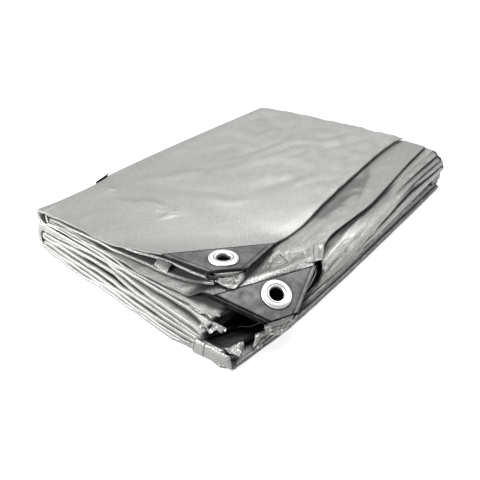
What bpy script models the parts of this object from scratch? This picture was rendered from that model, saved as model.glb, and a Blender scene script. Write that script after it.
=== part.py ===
"""Folded plastic tarp: one woven sheet in back-and-forth layers, with eyelet patches on its corners.

The pack lies flat. X runs along its short side, Y along its long side from front to back, Z up.
Tables are in millimetres, measured from the pack's left front corner on the floor.
Run with: blender --background --python part.py
"""
import math

import bmesh
import bpy
from mathutils import Euler, Vector

MM = 0.001

# The pack's own middle, which becomes the origin
CENTRE_X = 121.6
CENTRE_Y = 168.8

# The sheet: thickness of the folded layers, and of the two top flaps with their free corners
SHEET = 2.2
FLAP = 1.4
FLAP_LAYERS = (1, 4)
BOTTOM_LAYER = 14
LAST_UPPER_LAYER = 6
SHORT_LAYERS = (7, 8)
REST_HEIGHT = SHEET / 2

# Height of each layer's middle under the flat part of the top, from the top layer down. Layers 7
# and 8 are short ones, inside the folds on the right only
LAYER_HEIGHT = {1: 43.5, 2: 40.5, 3: 37.1, 4: 34.2, 5: 31.2, 6: 27.6,
                9: 22.6, 10: 18.4, 11: 14.4, 12: 9.8, 13: 5.6, 14: REST_HEIGHT}

# Height of the top layer's middle: columns are y, then x = 15, 70, 130 and 200
TOP_COLUMNS = (15.0, 70.0, 130.0, 200.0)
TOP_HEIGHT = (
    (0.0, 42.3, 43.2, 43.2, 42.6),
    (90.0, 43.2, 44.4, 44.0, 42.0),
    (130.0, 43.6, 44.9, 44.8, 43.2),
    (180.0, 43.9, 45.3, 45.8, 45.9),
    (250.0, 43.9, 45.4, 46.7, 48.0),
    (343.0, 43.6, 45.0, 47.2, 49.8),
)

# Height of the layers beside the right folds: columns are y, then layers 4 to 13
ROLL_LAYERS = (4, 5, 6, 7, 8, 9, 10, 11, 12, 13)
ROLL_HEIGHT = (
    (5.0, 33.6, 27.4, 24.0, 22.0, 21.0, 20.0, 16.4, 12.6, 8.8, 4.9),
    (35.0, 36.0, 29.2, 25.2, 22.6, 20.0, 17.6, 14.2, 10.9, 7.6, 4.4),
    (60.0, 36.4, 30.6, 26.6, 23.6, 20.6, 16.9, 13.7, 10.6, 7.2, 4.2),
    (90.0, 36.8, 32.2, 28.6, 25.0, 21.4, 17.3, 14.0, 10.8, 7.4, 4.2),
    (125.0, 38.8, 34.8, 30.7, 26.6, 22.4, 17.8, 14.4, 11.1, 7.8, 4.4),
    (180.0, 41.7, 38.3, 34.2, 29.0, 23.8, 18.6, 14.8, 11.2, 7.8, 4.4),
    (250.0, 44.2, 40.8, 36.6, 30.6, 24.6, 18.6, 14.8, 11.2, 7.8, 4.4),
    (343.0, 46.1, 42.7, 38.4, 31.8, 25.2, 18.6, 14.8, 11.2, 7.8, 4.4),
)

# Front edge of each layer: y at each x, and last the y of its right end
FRONT_COLUMNS = (-5.0, 25.0, 85.0, 107.0, 126.0, 147.0, 183.0, 205.0)
FRONT_EDGE = {
    1: (1.0, 5.6, 7.3, 10.6, 15.9, 20.9, 26.8, 30.5, 30.2),
    2: (3.0, 8.6, 11.5, 15.0, 20.0, 24.0, 28.5, 31.0, 30.0),
    3: (2.4, 6.2, 9.0, 11.0, 12.8, 15.6, 21.6, 26.0, 29.0),
    4: (2.6, 5.6, 6.6, 6.0, 6.0, 6.4, 10.6, 19.0, 36.8),
    5: (2.2, 5.4, 6.6, 5.6, 4.8, 5.4, 9.6, 13.0, 104.0),
    6: (2.0, 5.2, 5.6, 5.0, 4.2, 5.0, 8.0, 12.0, 97.0),
    7: (98.0, 98.0, 98.0, 98.0, 98.0, 98.0, 98.0, 98.0, 98.0),
    8: (99.0, 99.0, 99.0, 99.0, 99.0, 99.0, 99.0, 99.0, 96.0),
    9: (0.6, 3.2, 6.0, 4.0, 1.6, 0.2, -2.0, -1.8, 70.0),
    10: (0.0, 0.6, 3.6, 1.4, -1.0, -2.2, -3.4, -2.6, 24.0),
    11: (-0.6, -0.2, -1.2, -2.4, -3.2, -3.6, -4.2, -5.4, -3.0),
    12: (-1.0, -2.0, -3.4, -4.4, -5.2, -5.6, -6.4, -6.0, -4.0),
    13: (-1.0, -3.6, -4.0, -5.0, -6.0, -6.6, -7.8, -5.4, -3.0),
    14: (-0.8, -4.4, -4.4, -5.2, -5.8, -6.4, -7.2, -4.6, -1.7),
}
FRONT_LEAN = 2.5
TURN_SHARE = 0.94

# Back edge of each layer: y at each x
BACK_COLUMNS = (-5.0, 12.0, 40.0, 120.0, 200.0, 245.0)
BACK_EDGE = {
    1: (324.0, 330.0, 336.0, 339.0, 339.0, 338.0),
    2: (322.0, 329.0, 334.0, 336.0, 336.0, 336.0),
    3: (321.0, 328.0, 335.0, 339.5, 339.0, 338.0),
    4: (322.0, 329.0, 336.0, 341.5, 341.5, 342.0),
    5: (324.0, 331.0, 338.0, 342.5, 343.0, 341.0),
    6: (326.0, 332.0, 338.0, 340.5, 341.0, 340.0),
    7: (338.0, 338.0, 338.0, 338.0, 338.0, 337.0),
    8: (340.0, 340.0, 340.0, 340.0, 340.0, 339.0),
    9: (330.0, 334.0, 339.0, 343.0, 343.5, 341.0),
    10: (331.0, 335.0, 340.0, 341.5, 342.0, 339.5),
    11: (331.0, 336.0, 341.0, 344.5, 344.0, 341.0),
    12: (332.0, 337.0, 342.0, 343.0, 342.5, 340.0),
    13: (333.0, 338.0, 343.0, 345.2, 345.0, 342.0),
    14: (334.0, 339.0, 342.0, 343.5, 344.0, 341.0),
}

# Free right edges of the two top flaps: x at each y
TOP_FLAP_EDGE = (
    (30.2, 199.3), (35.6, 204.5), (43.3, 208.3), (49.3, 208.4), (69.0, 205.2), (94.5, 201.0),
    (104.0, 201.4), (127.0, 204.0), (184.0, 199.6), (224.0, 197.0), (290.0, 192.8), (316.0, 192.6), (339.0, 196.0),
)
SECOND_FLAP_EDGE = (
    (36.4, 245.9), (41.9, 249.9), (48.6, 252.3), (56.4, 251.5), (74.7, 246.2), (98.3, 239.4),
    (113.0, 235.2), (135.0, 229.6), (177.0, 231.6), (198.0, 232.6), (239.0, 230.0), (271.0, 226.4), (343.0, 221.6),
)

# Folds in the order in which the sheet runs through them. Columns are the side, the layers that
# the fold joins, the number of steps round it, and rows of y, centre x and reach past the centre
FOLDS = (
    ("left", 1, 6, 7, ((0.0, 5.0, 11.0), (66.0, 7.0, 10.0), (92.0, 2.4, 10.0), (200.0, 3.6, 9.0),
                       (343.0, 9.0, 9.0))),
    ("right", 6, 7, 4, ((0.0, 208.0, 2.0), (60.0, 226.0, 2.2), (100.0, 232.6, 2.4),
                        (180.0, 237.0, 3.0), (343.0, 232.6, 3.2))),
    ("left", 7, 8, 4, ((0.0, 200.0, 2.0), (100.0, 206.0, 2.0), (180.0, 202.0, 2.4),
                       (343.0, 200.0, 2.8))),
    ("right", 8, 9, 4, ((0.0, 208.0, 2.4), (60.0, 226.0, 2.6), (100.0, 232.6, 2.6),
                        (180.0, 236.0, 3.2), (343.0, 229.0, 3.0))),
    ("left", 9, 14, 7, ((0.0, 2.4, 12.0), (180.0, 2.0, 10.0), (343.0, 5.0, 11.0))),
    ("right", 14, 13, 4, ((0.0, 237.0, 1.7), (60.0, 243.5, 1.7), (180.0, 244.2, 1.7),
                          (343.0, 242.0, 1.7))),
    ("left", 13, 12, 4, ((0.0, 3.5, 2.2), (343.0, 5.0, 2.2))),
    ("right", 12, 11, 4, ((0.0, 227.0, 1.8), (60.0, 239.5, 1.8), (110.0, 243.0, 1.8),
                          (230.0, 241.4, 1.8), (343.0, 240.2, 1.8))),
    ("left", 11, 10, 4, ((0.0, 2.0, 2.2), (343.0, 3.0, 2.2))),
    ("right", 10, 5, 7, ((0.0, 209.0, 14.0), (60.0, 230.0, 13.0), (100.0, 233.0, 13.6),
                         (180.0, 234.6, 14.0), (343.0, 231.0, 14.0))),
    ("left", 5, 2, 6, ((0.0, 9.0, 7.0), (66.0, 10.0, 6.0), (92.0, 7.4, 7.0), (343.0, 11.0, 6.0))),
    ("right", 2, 3, 4, ((0.0, 188.6, 1.9), (60.0, 190.6, 1.9), (110.0, 171.6, 1.9),
                        (343.0, 164.0, 1.9))),
    ("left", 3, 4, 4, ((0.0, 13.0, 1.7), (343.0, 14.0, 1.7))),
)

# The big fold on the right grows pointed towards the back: y and sharpness
BIG_FOLD = (10, 5)
FOLD_POINT = ((230.0, 1.0), (343.0, 1.7))

# Where the points of a layer lie between its two ends; a flap's patch begins at its knee
FLAP_KNEE = 0.72
KNEE_MOST = 0.94
TOP_STEPS = (0.0, 0.09, 0.25, 0.4, 0.52, 0.62, FLAP_KNEE, 0.81, 0.9, 1.0)
SECOND_STEPS = (0.0, 0.15, 0.35, 0.5, 0.58, 0.64, 0.68, FLAP_KNEE, 0.81, 0.9, 1.0)
RISING_STEPS = (0.0, 0.1, 0.25, 0.4, 0.56, 0.66, 0.74, 0.8, 0.86, 0.9, TURN_SHARE, 0.955, 0.97, 0.985,
                1.0)
SHORT_STEPS = (0.0, 0.3, 0.55, 0.75, 0.9, 1.0)
INNER_STEPS = (0.0, 0.5, 1.0)
TURNED_STEPS = (0.0, 0.2, 0.4, 0.58, 0.76, 0.88, TURN_SHARE, 0.96, 0.98, 1.0)
PLAIN_STEPS = (0.0, 0.2, 0.4, 0.58, 0.76, 0.88, TURN_SHARE, 1.0)
LAYER_STEPS = {1: TOP_STEPS, 2: SHORT_STEPS, 3: SHORT_STEPS, 4: SECOND_STEPS, 5: RISING_STEPS,
               6: RISING_STEPS, 7: INNER_STEPS, 8: INNER_STEPS, 9: TURNED_STEPS}
STATIONS = (0.0, 0.025, 0.055, 0.09, 0.13, 0.175, 0.22, 0.27, 0.34, 0.43, 0.54, 0.68, 0.84, 1.0)

# Corner patches: folded plastic sleeves. The corner is where the two closed edges would meet
PATCH_LEG = 66.5
PATCH_CUT = 20.0
PATCH_WALL = 0.8
PATCH_GAP = 0.35
PATCH_HALF = FLAP / 2 + PATCH_GAP + PATCH_WALL
PATCHES = (
    {"number": 1, "corner": (213.5, 30.0, 48.8), "turn": (-6.0, 0.0, 9.3), "eyelet": (22.2, 21.6),
     "flat": 71.0, "fade": 42.0},
    {"number": 2, "corner": (258.5, 38.9, 15.2), "turn": (19.9, 19.9, 22.9), "eyelet": (20.6, 26.2),
     "flat": 73.0, "fade": 16.0},
)

# Eyelets: a flanged barrel and the washer that it is rolled over
EYELET_BORE = 5.8
EYELET_BARREL = 6.8
EYELET_FLANGE = 12.0
EYELET_HOLE = 7.2
SEAT_GAP = 0.3
FLANGE_RISE = 1.8
WASHER_THICK = 1.0
LIP_THICK = 0.8
LIP_RADIUS = 8.2

# Edges of the two other corner patches that show at the folds. Columns are the number, the layers
# that the fold joins, the first and last step round it, front y, back y and distance outwards
CURLS = (
    {"number": 3, "fold": BIG_FOLD, "steps": (1, 6), "front": 95.0, "back": 116.0, "outwards": -2.0},
    {"number": 4, "fold": (1, 6), "steps": (1, 3), "front": 70.0, "back": 87.0, "outwards": 2.1},
)
CURL_WALL = 0.9
CURL_ROWS = 4


def smooth(share):
    """Ease from 0 to 1 while share runs from 0 to 1."""
    share = min(max(share, 0.0), 1.0)
    return share * share * (3.0 - 2.0 * share)


def read_curve(place, knots, values):
    """Read a smooth curve through the knots at a place; it is level past its ends."""
    if place <= knots[0]:
        return values[0]
    if place >= knots[-1]:
        return values[-1]
    last = len(knots) - 1
    step = next(i for i in range(last) if place <= knots[i + 1])
    slopes = []
    for i in (step, step + 1):
        low = max(i - 1, 0)
        high = min(i + 1, last)
        slopes.append((values[high] - values[low]) / (knots[high] - knots[low]))
    span = knots[step + 1] - knots[step]
    u = (place - knots[step]) / span
    rise = values[step + 1] - values[step]
    return (values[step] + u * span * slopes[0]
            + u * u * (3 * rise - span * (2 * slopes[0] + slopes[1]))
            + u * u * u * (span * (slopes[0] + slopes[1]) - 2 * rise))


def read_rows(place, rows, column):
    """Read one column of a table whose first column is the place."""
    return read_curve(place, [row[0] for row in rows], [row[column] for row in rows])


def patch_matrix(patch):
    """Give the rotation of a patch as a matrix."""
    return Euler([math.radians(angle) for angle in patch["turn"]], "XYZ").to_matrix()


def patch_height(patch, x, y):
    """Give the height of a patch's middle plane at x, y."""
    normal = patch_matrix(patch).col[2]
    corner = Vector(patch["corner"])
    return corner.z - (normal.x * (x - corner.x) + normal.y * (y - corner.y)) / normal.z


def patch_distance(patch, x, y):
    """Give how far x, y lies from the patch's corner, added up along the two legs."""
    point = Vector((x, y, patch_height(patch, x, y))) - Vector(patch["corner"])
    local = patch_matrix(patch).transposed() @ point
    return local.y - local.x


def patch_share(patch, x, y):
    """Give how far the cloth at x, y lies in the patch's plane: 1 in the patch, 0 far off."""
    return 1.0 - smooth((patch_distance(patch, x, y) - patch["flat"]) / patch["fade"])


def knee_of(layer, y):
    """Give the x at which a flap goes over into its patch's plane."""
    patch = PATCHES[FLAP_LAYERS.index(layer)]
    start, per_step = patch_distance(patch, 0.0, y), patch_distance(patch, 1.0, y)
    return (start - patch["flat"]) / (start - per_step)


def top_height(x, y):
    """Give the height of the top layer where no corner lifts it."""
    across = [read_rows(y, TOP_HEIGHT, i + 1) for i in range(len(TOP_COLUMNS))]
    return read_curve(x, TOP_COLUMNS, across)


def roll_height(layer, y):
    """Give the height of a layer beside the folds on the right."""
    if layer == BOTTOM_LAYER:
        return REST_HEIGHT
    return read_rows(y, ROLL_HEIGHT, ROLL_LAYERS.index(layer) + 1)


def layer_height(layer, x, y):
    """Give the height of a layer's middle at x, y."""
    if layer in SHORT_LAYERS:
        return roll_height(layer, y)
    top = top_height(x, y)
    height = REST_HEIGHT + (LAYER_HEIGHT[layer] - REST_HEIGHT) * (top - REST_HEIGHT) / (
        LAYER_HEIGHT[1] - REST_HEIGHT)
    if layer >= 4:
        start, width = rise_of(layer, y)
        share = smooth((x - start) / width)
        height += share * (roll_height(layer, y) - height)
    for patch, carrier in zip(PATCHES, FLAP_LAYERS):
        if layer == carrier:
            share = patch_share(patch, x, y)
            height += share * (patch_height(patch, x, y) - height)
    return height


def rise_of(layer, y):
    """Give where a layer starts to leave its own level for the folds on the right, and how wide."""
    if layer > LAST_UPPER_LAYER:
        return 150.0, 60.0
    start = fold_reach(2, 3, y) + 1.5
    return start, min(32.0, 214.0 - start)


def fold_reach(first, second, y):
    """Give the x of the outermost point of the fold between two layers."""
    for side, a, b, _, rows in FOLDS:
        if {a, b} == {first, second}:
            sign = 1.0 if side == "right" else -1.0
            return read_rows(y, rows, 1) + sign * read_rows(y, rows, 2)
    raise ValueError("no such fold")


def layer_end(layer, side, y):
    """Give the x at which a layer ends on one side, at its fold's centre or its free edge."""
    if side == "right" and layer == 1:
        return read_rows(y, TOP_FLAP_EDGE, 1)
    if side == "right" and layer == 4:
        return read_rows(y, SECOND_FLAP_EDGE, 1)
    for fold_side, a, b, _, rows in FOLDS:
        if fold_side == side and layer in (a, b):
            return read_rows(y, rows, 1)
    raise ValueError("layer has no end there")


def front_of(layer, share):
    """Give the y of a layer's front edge at a share of the way from its left to its right end."""
    fronts = FRONT_EDGE[layer]
    turn = FLAP_KNEE if layer in FLAP_LAYERS else TURN_SHARE
    y = fronts[-2]
    for _ in range(4):
        y = read_curve(layer_place(layer, min(share, turn), y), FRONT_COLUMNS, fronts[:-1])
    return y + max(0.0, (share - turn) / (1.0 - turn)) * (fronts[-1] - y)


def back_of(layer, share):
    """Give the y of a layer's back edge at a share of the way from its left to its right end."""
    x = layer_place(layer, share, BACK_EDGE[layer][-1])
    return read_curve(x, BACK_COLUMNS, BACK_EDGE[layer])


def layer_place(layer, share, y):
    """Give the x at a share of the way along a layer."""
    left, right = layer_end(layer, "left", y), layer_end(layer, "right", y)
    if layer not in FLAP_LAYERS:
        return left + share * (right - left)
    knee = min(knee_of(layer, y), left + KNEE_MOST * (right - left))
    if share <= FLAP_KNEE:
        return left + share / FLAP_KNEE * (knee - left)
    return knee + (share - FLAP_KNEE) / (1.0 - FLAP_KNEE) * (right - knee)


def layer_line(layer, station, rightwards):
    """Give a layer's points at one station, from its left end to its right end or back."""
    points = []
    for share in LAYER_STEPS.get(layer, PLAIN_STEPS):
        front = front_of(layer, share)
        y = front + station * (back_of(layer, share) - front)
        x = layer_place(layer, share, y)
        points.append(Vector((x, y, layer_height(layer, x, y))))
    return points if rightwards else points[::-1]


def fold_point(fold, angle, y, outwards):
    """Give the point at an angle round a fold, measured from its first layer."""
    side, first, second, _, rows = fold
    sign = 1.0 if side == "right" else -1.0
    centre = read_rows(y, rows, 1)
    heights = [layer_height(layer, centre, y) for layer in (first, second)]
    share = (1.0 - math.cos(angle)) / 2.0
    point = read_rows(y, FOLD_POINT, 1) if (first, second) == BIG_FOLD else 1.0
    bulge = math.sin(angle) ** point
    x = centre + sign * (read_rows(y, rows, 2) + outwards) * bulge
    away = outwards * math.cos(angle) * (1.0 if heights[0] > heights[1] else -1.0)
    return Vector((x, y, heights[0] + share * (heights[1] - heights[0]) + away))


def fold_line(fold, station):
    """Give the points strictly inside a fold at one station."""
    side, first, second, steps, _ = fold
    end_share = 1.0 if side == "right" else 0.0
    fronts = [front_of(layer, end_share) for layer in (first, second)]
    backs = [back_of(layer, end_share) for layer in (first, second)]
    points = []
    for i in range(1, steps):
        angle = math.pi * i / steps
        share = (1.0 - math.cos(angle)) / 2.0
        from_low = share if fronts[0] <= fronts[1] else 1.0 - share
        front = min(fronts) + (max(fronts) - min(fronts)) * (1.0 - (1.0 - from_low) ** FRONT_LEAN)
        back = backs[0] + share * (backs[1] - backs[0])
        points.append(fold_point(fold, angle, front + station * (back - front), 0.0))
    return points


def layer_half(layer):
    """Give half the thickness of a layer."""
    return (FLAP if layer in FLAP_LAYERS else SHEET) / 2


def sheet_line(station):
    """Give the sheet's middle line at one station, from free edge to free edge, and half widths."""
    points = layer_line(1, station, False)
    halves = [layer_half(1)] * len(points)
    for fold in FOLDS:
        bend = fold_line(fold, station)
        straight = layer_line(fold[2], station, fold[0] == "left")
        first, second = layer_half(fold[1]), layer_half(fold[2])
        halves += [first + (second - first) * (i + 1) / (len(bend) + 1) for i in range(len(bend))]
        halves += [second] * len(straight)
        points += bend + straight
    return points, halves


def offset_line(points, halves, side):
    """Move a line sideways in its X-Z section, to one face of the sheet."""
    moved = []
    last = len(points) - 1
    for i, point in enumerate(points):
        runs = [points[min(i, last - 1) + 1] - points[min(i, last - 1)],
                points[max(i, 1)] - points[max(i, 1) - 1]]
        normals = [Vector((-run.z, 0.0, run.x)).normalized() for run in runs]
        middle = (normals[0] + normals[1]).normalized()
        moved.append(point + middle * (side * halves[i] / max(middle.dot(normals[0]), 0.7)))
    return moved


def to_row(point):
    """Change a table point in millimetres to a point of the part in metres."""
    return Vector(((point.x - CENTRE_X) * MM, (point.y - CENTRE_Y) * MM, point.z * MM))


def make_material(name, color, roughness, metallic):
    """Make a plain material."""
    material = bpy.data.materials.new(name)
    material.use_nodes = True
    shader = material.node_tree.nodes["Principled BSDF"]
    shader.inputs["Base Color"].default_value = (*color, 1.0)
    shader.inputs["Roughness"].default_value = roughness
    shader.inputs["Metallic"].default_value = metallic
    return material


def add_object(name, mesh, collection, material):
    """Link a mesh as a named object with its material."""
    shape = bpy.data.objects.new(name, mesh)
    collection.objects.link(shape)
    if material:
        mesh.materials.append(material)
    return shape


def add_cutter(shape):
    """Show a cutter as a wire only."""
    shape.hide_render = True
    shape.display_type = "WIRE"


def cut(shape, cutter):
    """Cut one object from another."""
    boolean = shape.modifiers.new("cut " + cutter.name, "BOOLEAN")
    boolean.operation = "DIFFERENCE"
    boolean.object = cutter


def make_tarp(collection, material):
    """Loft the folded sheet from its sections."""
    mesh = bpy.data.meshes.new("tarp")
    shape = bmesh.new()
    rings = []
    for station in STATIONS:
        middle, halves = sheet_line(station)
        outer = offset_line(middle, halves, 1.0)
        inner = offset_line(middle, halves, -1.0)
        rings.append([[shape.verts.new(to_row(point)) for point in side] for side in (outer, inner)])
    count = len(rings[0][0])
    for near, far in zip(rings, rings[1:]):
        for i in range(count - 1):
            shape.faces.new((near[0][i], far[0][i], far[0][i + 1], near[0][i + 1]))
            shape.faces.new((near[1][i + 1], far[1][i + 1], far[1][i], near[1][i]))
        shape.faces.new((near[1][0], far[1][0], far[0][0], near[0][0]))
        shape.faces.new((near[0][-1], far[0][-1], far[1][-1], near[1][-1]))
    for ring, front in ((rings[0], True), (rings[-1], False)):
        for i in range(count - 1):
            quad = [ring[0][i], ring[0][i + 1], ring[1][i + 1], ring[1][i]]
            shape.faces.new(quad if front else quad[::-1])
    bmesh.ops.recalc_face_normals(shape, faces=shape.faces)
    bmesh.ops.triangulate(shape, faces=shape.faces)
    shape.to_mesh(mesh)
    shape.free()
    return add_object("tarp", mesh, collection, material)


def make_prism(name, outline, low, high, collection, material):
    """Make a prism from a flat outline, between two heights."""
    mesh = bpy.data.meshes.new(name)
    shape = bmesh.new()
    ring = [shape.verts.new((x * MM, y * MM, low * MM)) for x, y in outline]
    face = shape.faces.new(ring)
    raised = bmesh.ops.extrude_face_region(shape, geom=[face])["geom"]
    bmesh.ops.translate(shape, vec=(0.0, 0.0, (high - low) * MM),
                        verts=[item for item in raised if isinstance(item, bmesh.types.BMVert)])
    bmesh.ops.recalc_face_normals(shape, faces=shape.faces)
    shape.to_mesh(mesh)
    shape.free()
    return add_object(name, mesh, collection, material)


def make_disc_cutter(name, radius, half, parent, collection):
    """Make a round cutter on the parent's Z axis."""
    mesh = bpy.data.meshes.new(name)
    shape = bmesh.new()
    bmesh.ops.create_cone(shape, cap_ends=True, segments=24, radius1=radius * MM,
                          radius2=radius * MM, depth=2 * half * MM)
    shape.to_mesh(mesh)
    shape.free()
    cutter = add_object(name, mesh, collection, None)
    cutter.parent = parent
    add_cutter(cutter)
    return cutter


def make_turned(name, profile, parent, collection, material):
    """Turn a closed profile of radius and height about the parent's Z axis."""
    mesh = bpy.data.meshes.new(name)
    points = [(radius * MM, 0.0, height * MM) for radius, height in reversed(profile)]
    edges = [(i, (i + 1) % len(points)) for i in range(len(points))]
    mesh.from_pydata(points, edges, [])
    turned = add_object(name, mesh, collection, material)
    screw = turned.modifiers.new("turn", "SCREW")
    screw.steps = 24
    screw.render_steps = 24
    screw.use_merge_vertices = True
    screw.merge_threshold = 0.00001
    turned.parent = parent
    return turned


def make_patch(patch, tarp, parts, cutters, plastic, metal):
    """Make a corner sleeve with its eyelet, and cut their room in the sheet."""
    number = patch["number"]
    frame = bpy.data.objects.new("patch_frame_%d" % number, None)
    frame.location = to_row(Vector(patch["corner"]))
    frame.rotation_euler = [math.radians(angle) for angle in patch["turn"]]
    parts.objects.link(frame)
    outline = ((-PATCH_LEG, 0.0), (-PATCH_CUT, 0.0), (0.0, PATCH_CUT), (0.0, PATCH_LEG))
    sleeve = make_prism("corner_patch_%d" % number, outline, -PATCH_HALF, PATCH_HALF, parts, plastic)
    sleeve.parent = frame
    bevel = sleeve.modifiers.new("rounded folds", "BEVEL")
    bevel.width = 1.6 * MM
    bevel.segments = 3
    bevel.limit_method = "WEIGHT"
    weights = sleeve.data.attributes.new("bevel_weight_edge", "FLOAT", "EDGE")
    for edge in sleeve.data.edges:
        ends = [sleeve.data.vertices[i].co for i in edge.vertices]
        level = abs(ends[0].z - ends[1].z) < 0.0001
        on_leg = all(abs(end.y) < 0.0001 for end in ends) or all(abs(end.x) < 0.0001 for end in ends)
        weights.data[edge.index].value = 1.0 if level and on_leg else 0.0
    room = PATCH_WALL + PATCH_GAP
    far = 2 * PATCH_LEG
    slot_outline = ((-far, room), (-PATCH_CUT / 2 - room, room), (-room, PATCH_CUT / 2 + room),
                    (-room, far))
    slot_half = FLAP / 2 + PATCH_GAP
    slot = make_prism("slot_%d" % number, slot_outline, -slot_half, slot_half, cutters, None)
    slot.parent = frame
    add_cutter(slot)
    cut(sleeve, slot)
    centre = bpy.data.objects.new("eyelet_frame_%d" % number, None)
    centre.location = (-patch["eyelet"][0] * MM, patch["eyelet"][1] * MM, 0.0)
    centre.parent = frame
    parts.objects.link(centre)
    hole = make_disc_cutter("hole_%d" % number, EYELET_HOLE, 2 * PATCH_HALF, centre, cutters)
    cut(sleeve, hole)
    sheet_hole = make_disc_cutter("sheet_hole_%d" % number, EYELET_HOLE, SHEET, centre, cutters)
    cut(tarp, sheet_hole)
    seat = PATCH_HALF + SEAT_GAP
    lip_top = -seat - WASHER_THICK - SEAT_GAP
    crown = (EYELET_BARREL + EYELET_FLANGE) / 2
    make_turned("eyelet_%d" % number, (
        (EYELET_FLANGE, seat), (EYELET_FLANGE - 0.4, seat + 0.7), (crown, seat + FLANGE_RISE),
        (EYELET_BARREL, seat + 0.8 * FLANGE_RISE), (EYELET_BORE, seat + 0.2 * FLANGE_RISE),
        (EYELET_BORE, lip_top - 0.2), (EYELET_BARREL, lip_top - LIP_THICK),
        (LIP_RADIUS, lip_top - 0.6 * LIP_THICK), (LIP_RADIUS, lip_top), (EYELET_BARREL, lip_top),
        (EYELET_BARREL, seat)), centre, parts, metal)
    make_turned("washer_%d" % number, (
        (EYELET_FLANGE, -seat), (EYELET_BARREL + SEAT_GAP, -seat),
        (EYELET_BARREL + SEAT_GAP, -seat - WASHER_THICK), (crown, -seat - WASHER_THICK),
        (EYELET_FLANGE, -seat - 0.5 * WASHER_THICK)), centre, parts, metal)


def make_curl(curl, collection, material):
    """Make the edge of a patch that follows a fold of the sheet."""
    fold = next(row for row in FOLDS if row[1:3] == curl["fold"])
    first, last = curl["steps"]
    mesh = bpy.data.meshes.new("corner_patch_%d" % curl["number"])
    shape = bmesh.new()
    rows = []
    for i in range(CURL_ROWS):
        y = curl["front"] + (curl["back"] - curl["front"]) * i / (CURL_ROWS - 1)
        rows.append([shape.verts.new(to_row(fold_point(fold, math.pi * k / fold[3], y,
                                                       curl["outwards"])))
                     for k in range(first, last + 1)])
    for near, far in zip(rows, rows[1:]):
        for k in range(last - first):
            shape.faces.new((near[k], near[k + 1], far[k + 1], far[k]))
    shape.to_mesh(mesh)
    shape.free()
    strip = add_object("corner_patch_%d" % curl["number"], mesh, collection, material)
    wall = strip.modifiers.new("wall", "SOLIDIFY")
    wall.thickness = CURL_WALL * MM
    wall.offset = 0.0
    wall.use_even_offset = True


def main():
    """Build every piece of the folded tarp."""
    for item in list(bpy.data.objects):
        bpy.data.objects.remove(item)
    parts = bpy.data.collections.new("folded tarp")
    cutters = bpy.data.collections.new("cutters")
    for collection in (parts, cutters):
        bpy.context.scene.collection.children.link(collection)
    silver = make_material("silver sheet", (0.50, 0.50, 0.48), 0.45, 0.1)
    plastic = make_material("grey plastic", (0.10, 0.10, 0.10), 0.4, 0.0)
    metal = make_material("bright metal", (0.85, 0.85, 0.84), 0.25, 1.0)
    tarp = make_tarp(parts, silver)
    for patch in PATCHES:
        make_patch(patch, tarp, parts, cutters, plastic, metal)
    for curl in CURLS:
        make_curl(curl, parts, plastic)
    bpy.context.view_layer.update()


main()
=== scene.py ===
"""Looks of the folded tarp: its woven sheet, corner sleeves, eyelets and crumpled ends.

Tables are in millimetres, measured from the pack's left front corner on the floor, as in the part.
"""
import math

import bmesh
import bpy
import numpy as np
from mathutils import Euler, Matrix, Vector


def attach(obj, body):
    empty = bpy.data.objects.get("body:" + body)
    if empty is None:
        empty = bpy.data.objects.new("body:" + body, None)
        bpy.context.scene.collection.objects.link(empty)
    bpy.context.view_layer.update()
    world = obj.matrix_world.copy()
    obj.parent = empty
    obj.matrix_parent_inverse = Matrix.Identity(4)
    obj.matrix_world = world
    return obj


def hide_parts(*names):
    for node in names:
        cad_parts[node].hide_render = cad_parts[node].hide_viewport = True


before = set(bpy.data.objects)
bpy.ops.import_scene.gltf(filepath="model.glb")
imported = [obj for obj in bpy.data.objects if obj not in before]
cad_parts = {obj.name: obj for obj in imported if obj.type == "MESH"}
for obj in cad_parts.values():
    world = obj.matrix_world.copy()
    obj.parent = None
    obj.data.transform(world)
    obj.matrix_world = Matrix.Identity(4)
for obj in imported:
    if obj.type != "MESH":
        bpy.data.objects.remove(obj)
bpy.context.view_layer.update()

MM = 0.001
BODY = "root"

# The pack's own middle, which is the origin
CENTRE_X = 121.6
CENTRE_Y = 168.8

# The sheet: thickness of the folded layers, and of the two top flaps with their free corners
SHEET = 2.2
FLAP = 1.4
TOP_LAYER = 1
SECOND_FLAP = 4
FLAP_LAYERS = (TOP_LAYER, SECOND_FLAP)
LAST_UPPER_LAYER = 6
SHORT_LAYERS = (7, 8)
FIRST_LOWER_LAYER = 9
BOTTOM_LAYER = 14
TURNED_LAYERS = (5, 6, 9, 10)
REST_HEIGHT = SHEET / 2

# Height of each layer's middle under the flat part of the top, from the top layer down
LAYER_HEIGHT = {1: 43.5, 2: 40.5, 3: 37.1, 4: 34.2, 5: 31.2, 6: 27.6,
                9: 22.6, 10: 18.4, 11: 14.4, 12: 9.8, 13: 5.6, 14: REST_HEIGHT}

# Height of the top layer's middle: columns are y, then x = 15, 70, 130 and 200
TOP_COLUMNS = (15.0, 70.0, 130.0, 200.0)
TOP_HEIGHT = (
    (0.0, 42.3, 43.2, 43.2, 42.6),
    (90.0, 43.2, 44.4, 44.0, 42.0),
    (130.0, 43.6, 44.9, 44.8, 43.2),
    (180.0, 43.9, 45.3, 45.8, 45.9),
    (250.0, 43.9, 45.4, 46.7, 48.0),
    (343.0, 43.6, 45.0, 47.2, 49.8),
)

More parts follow.
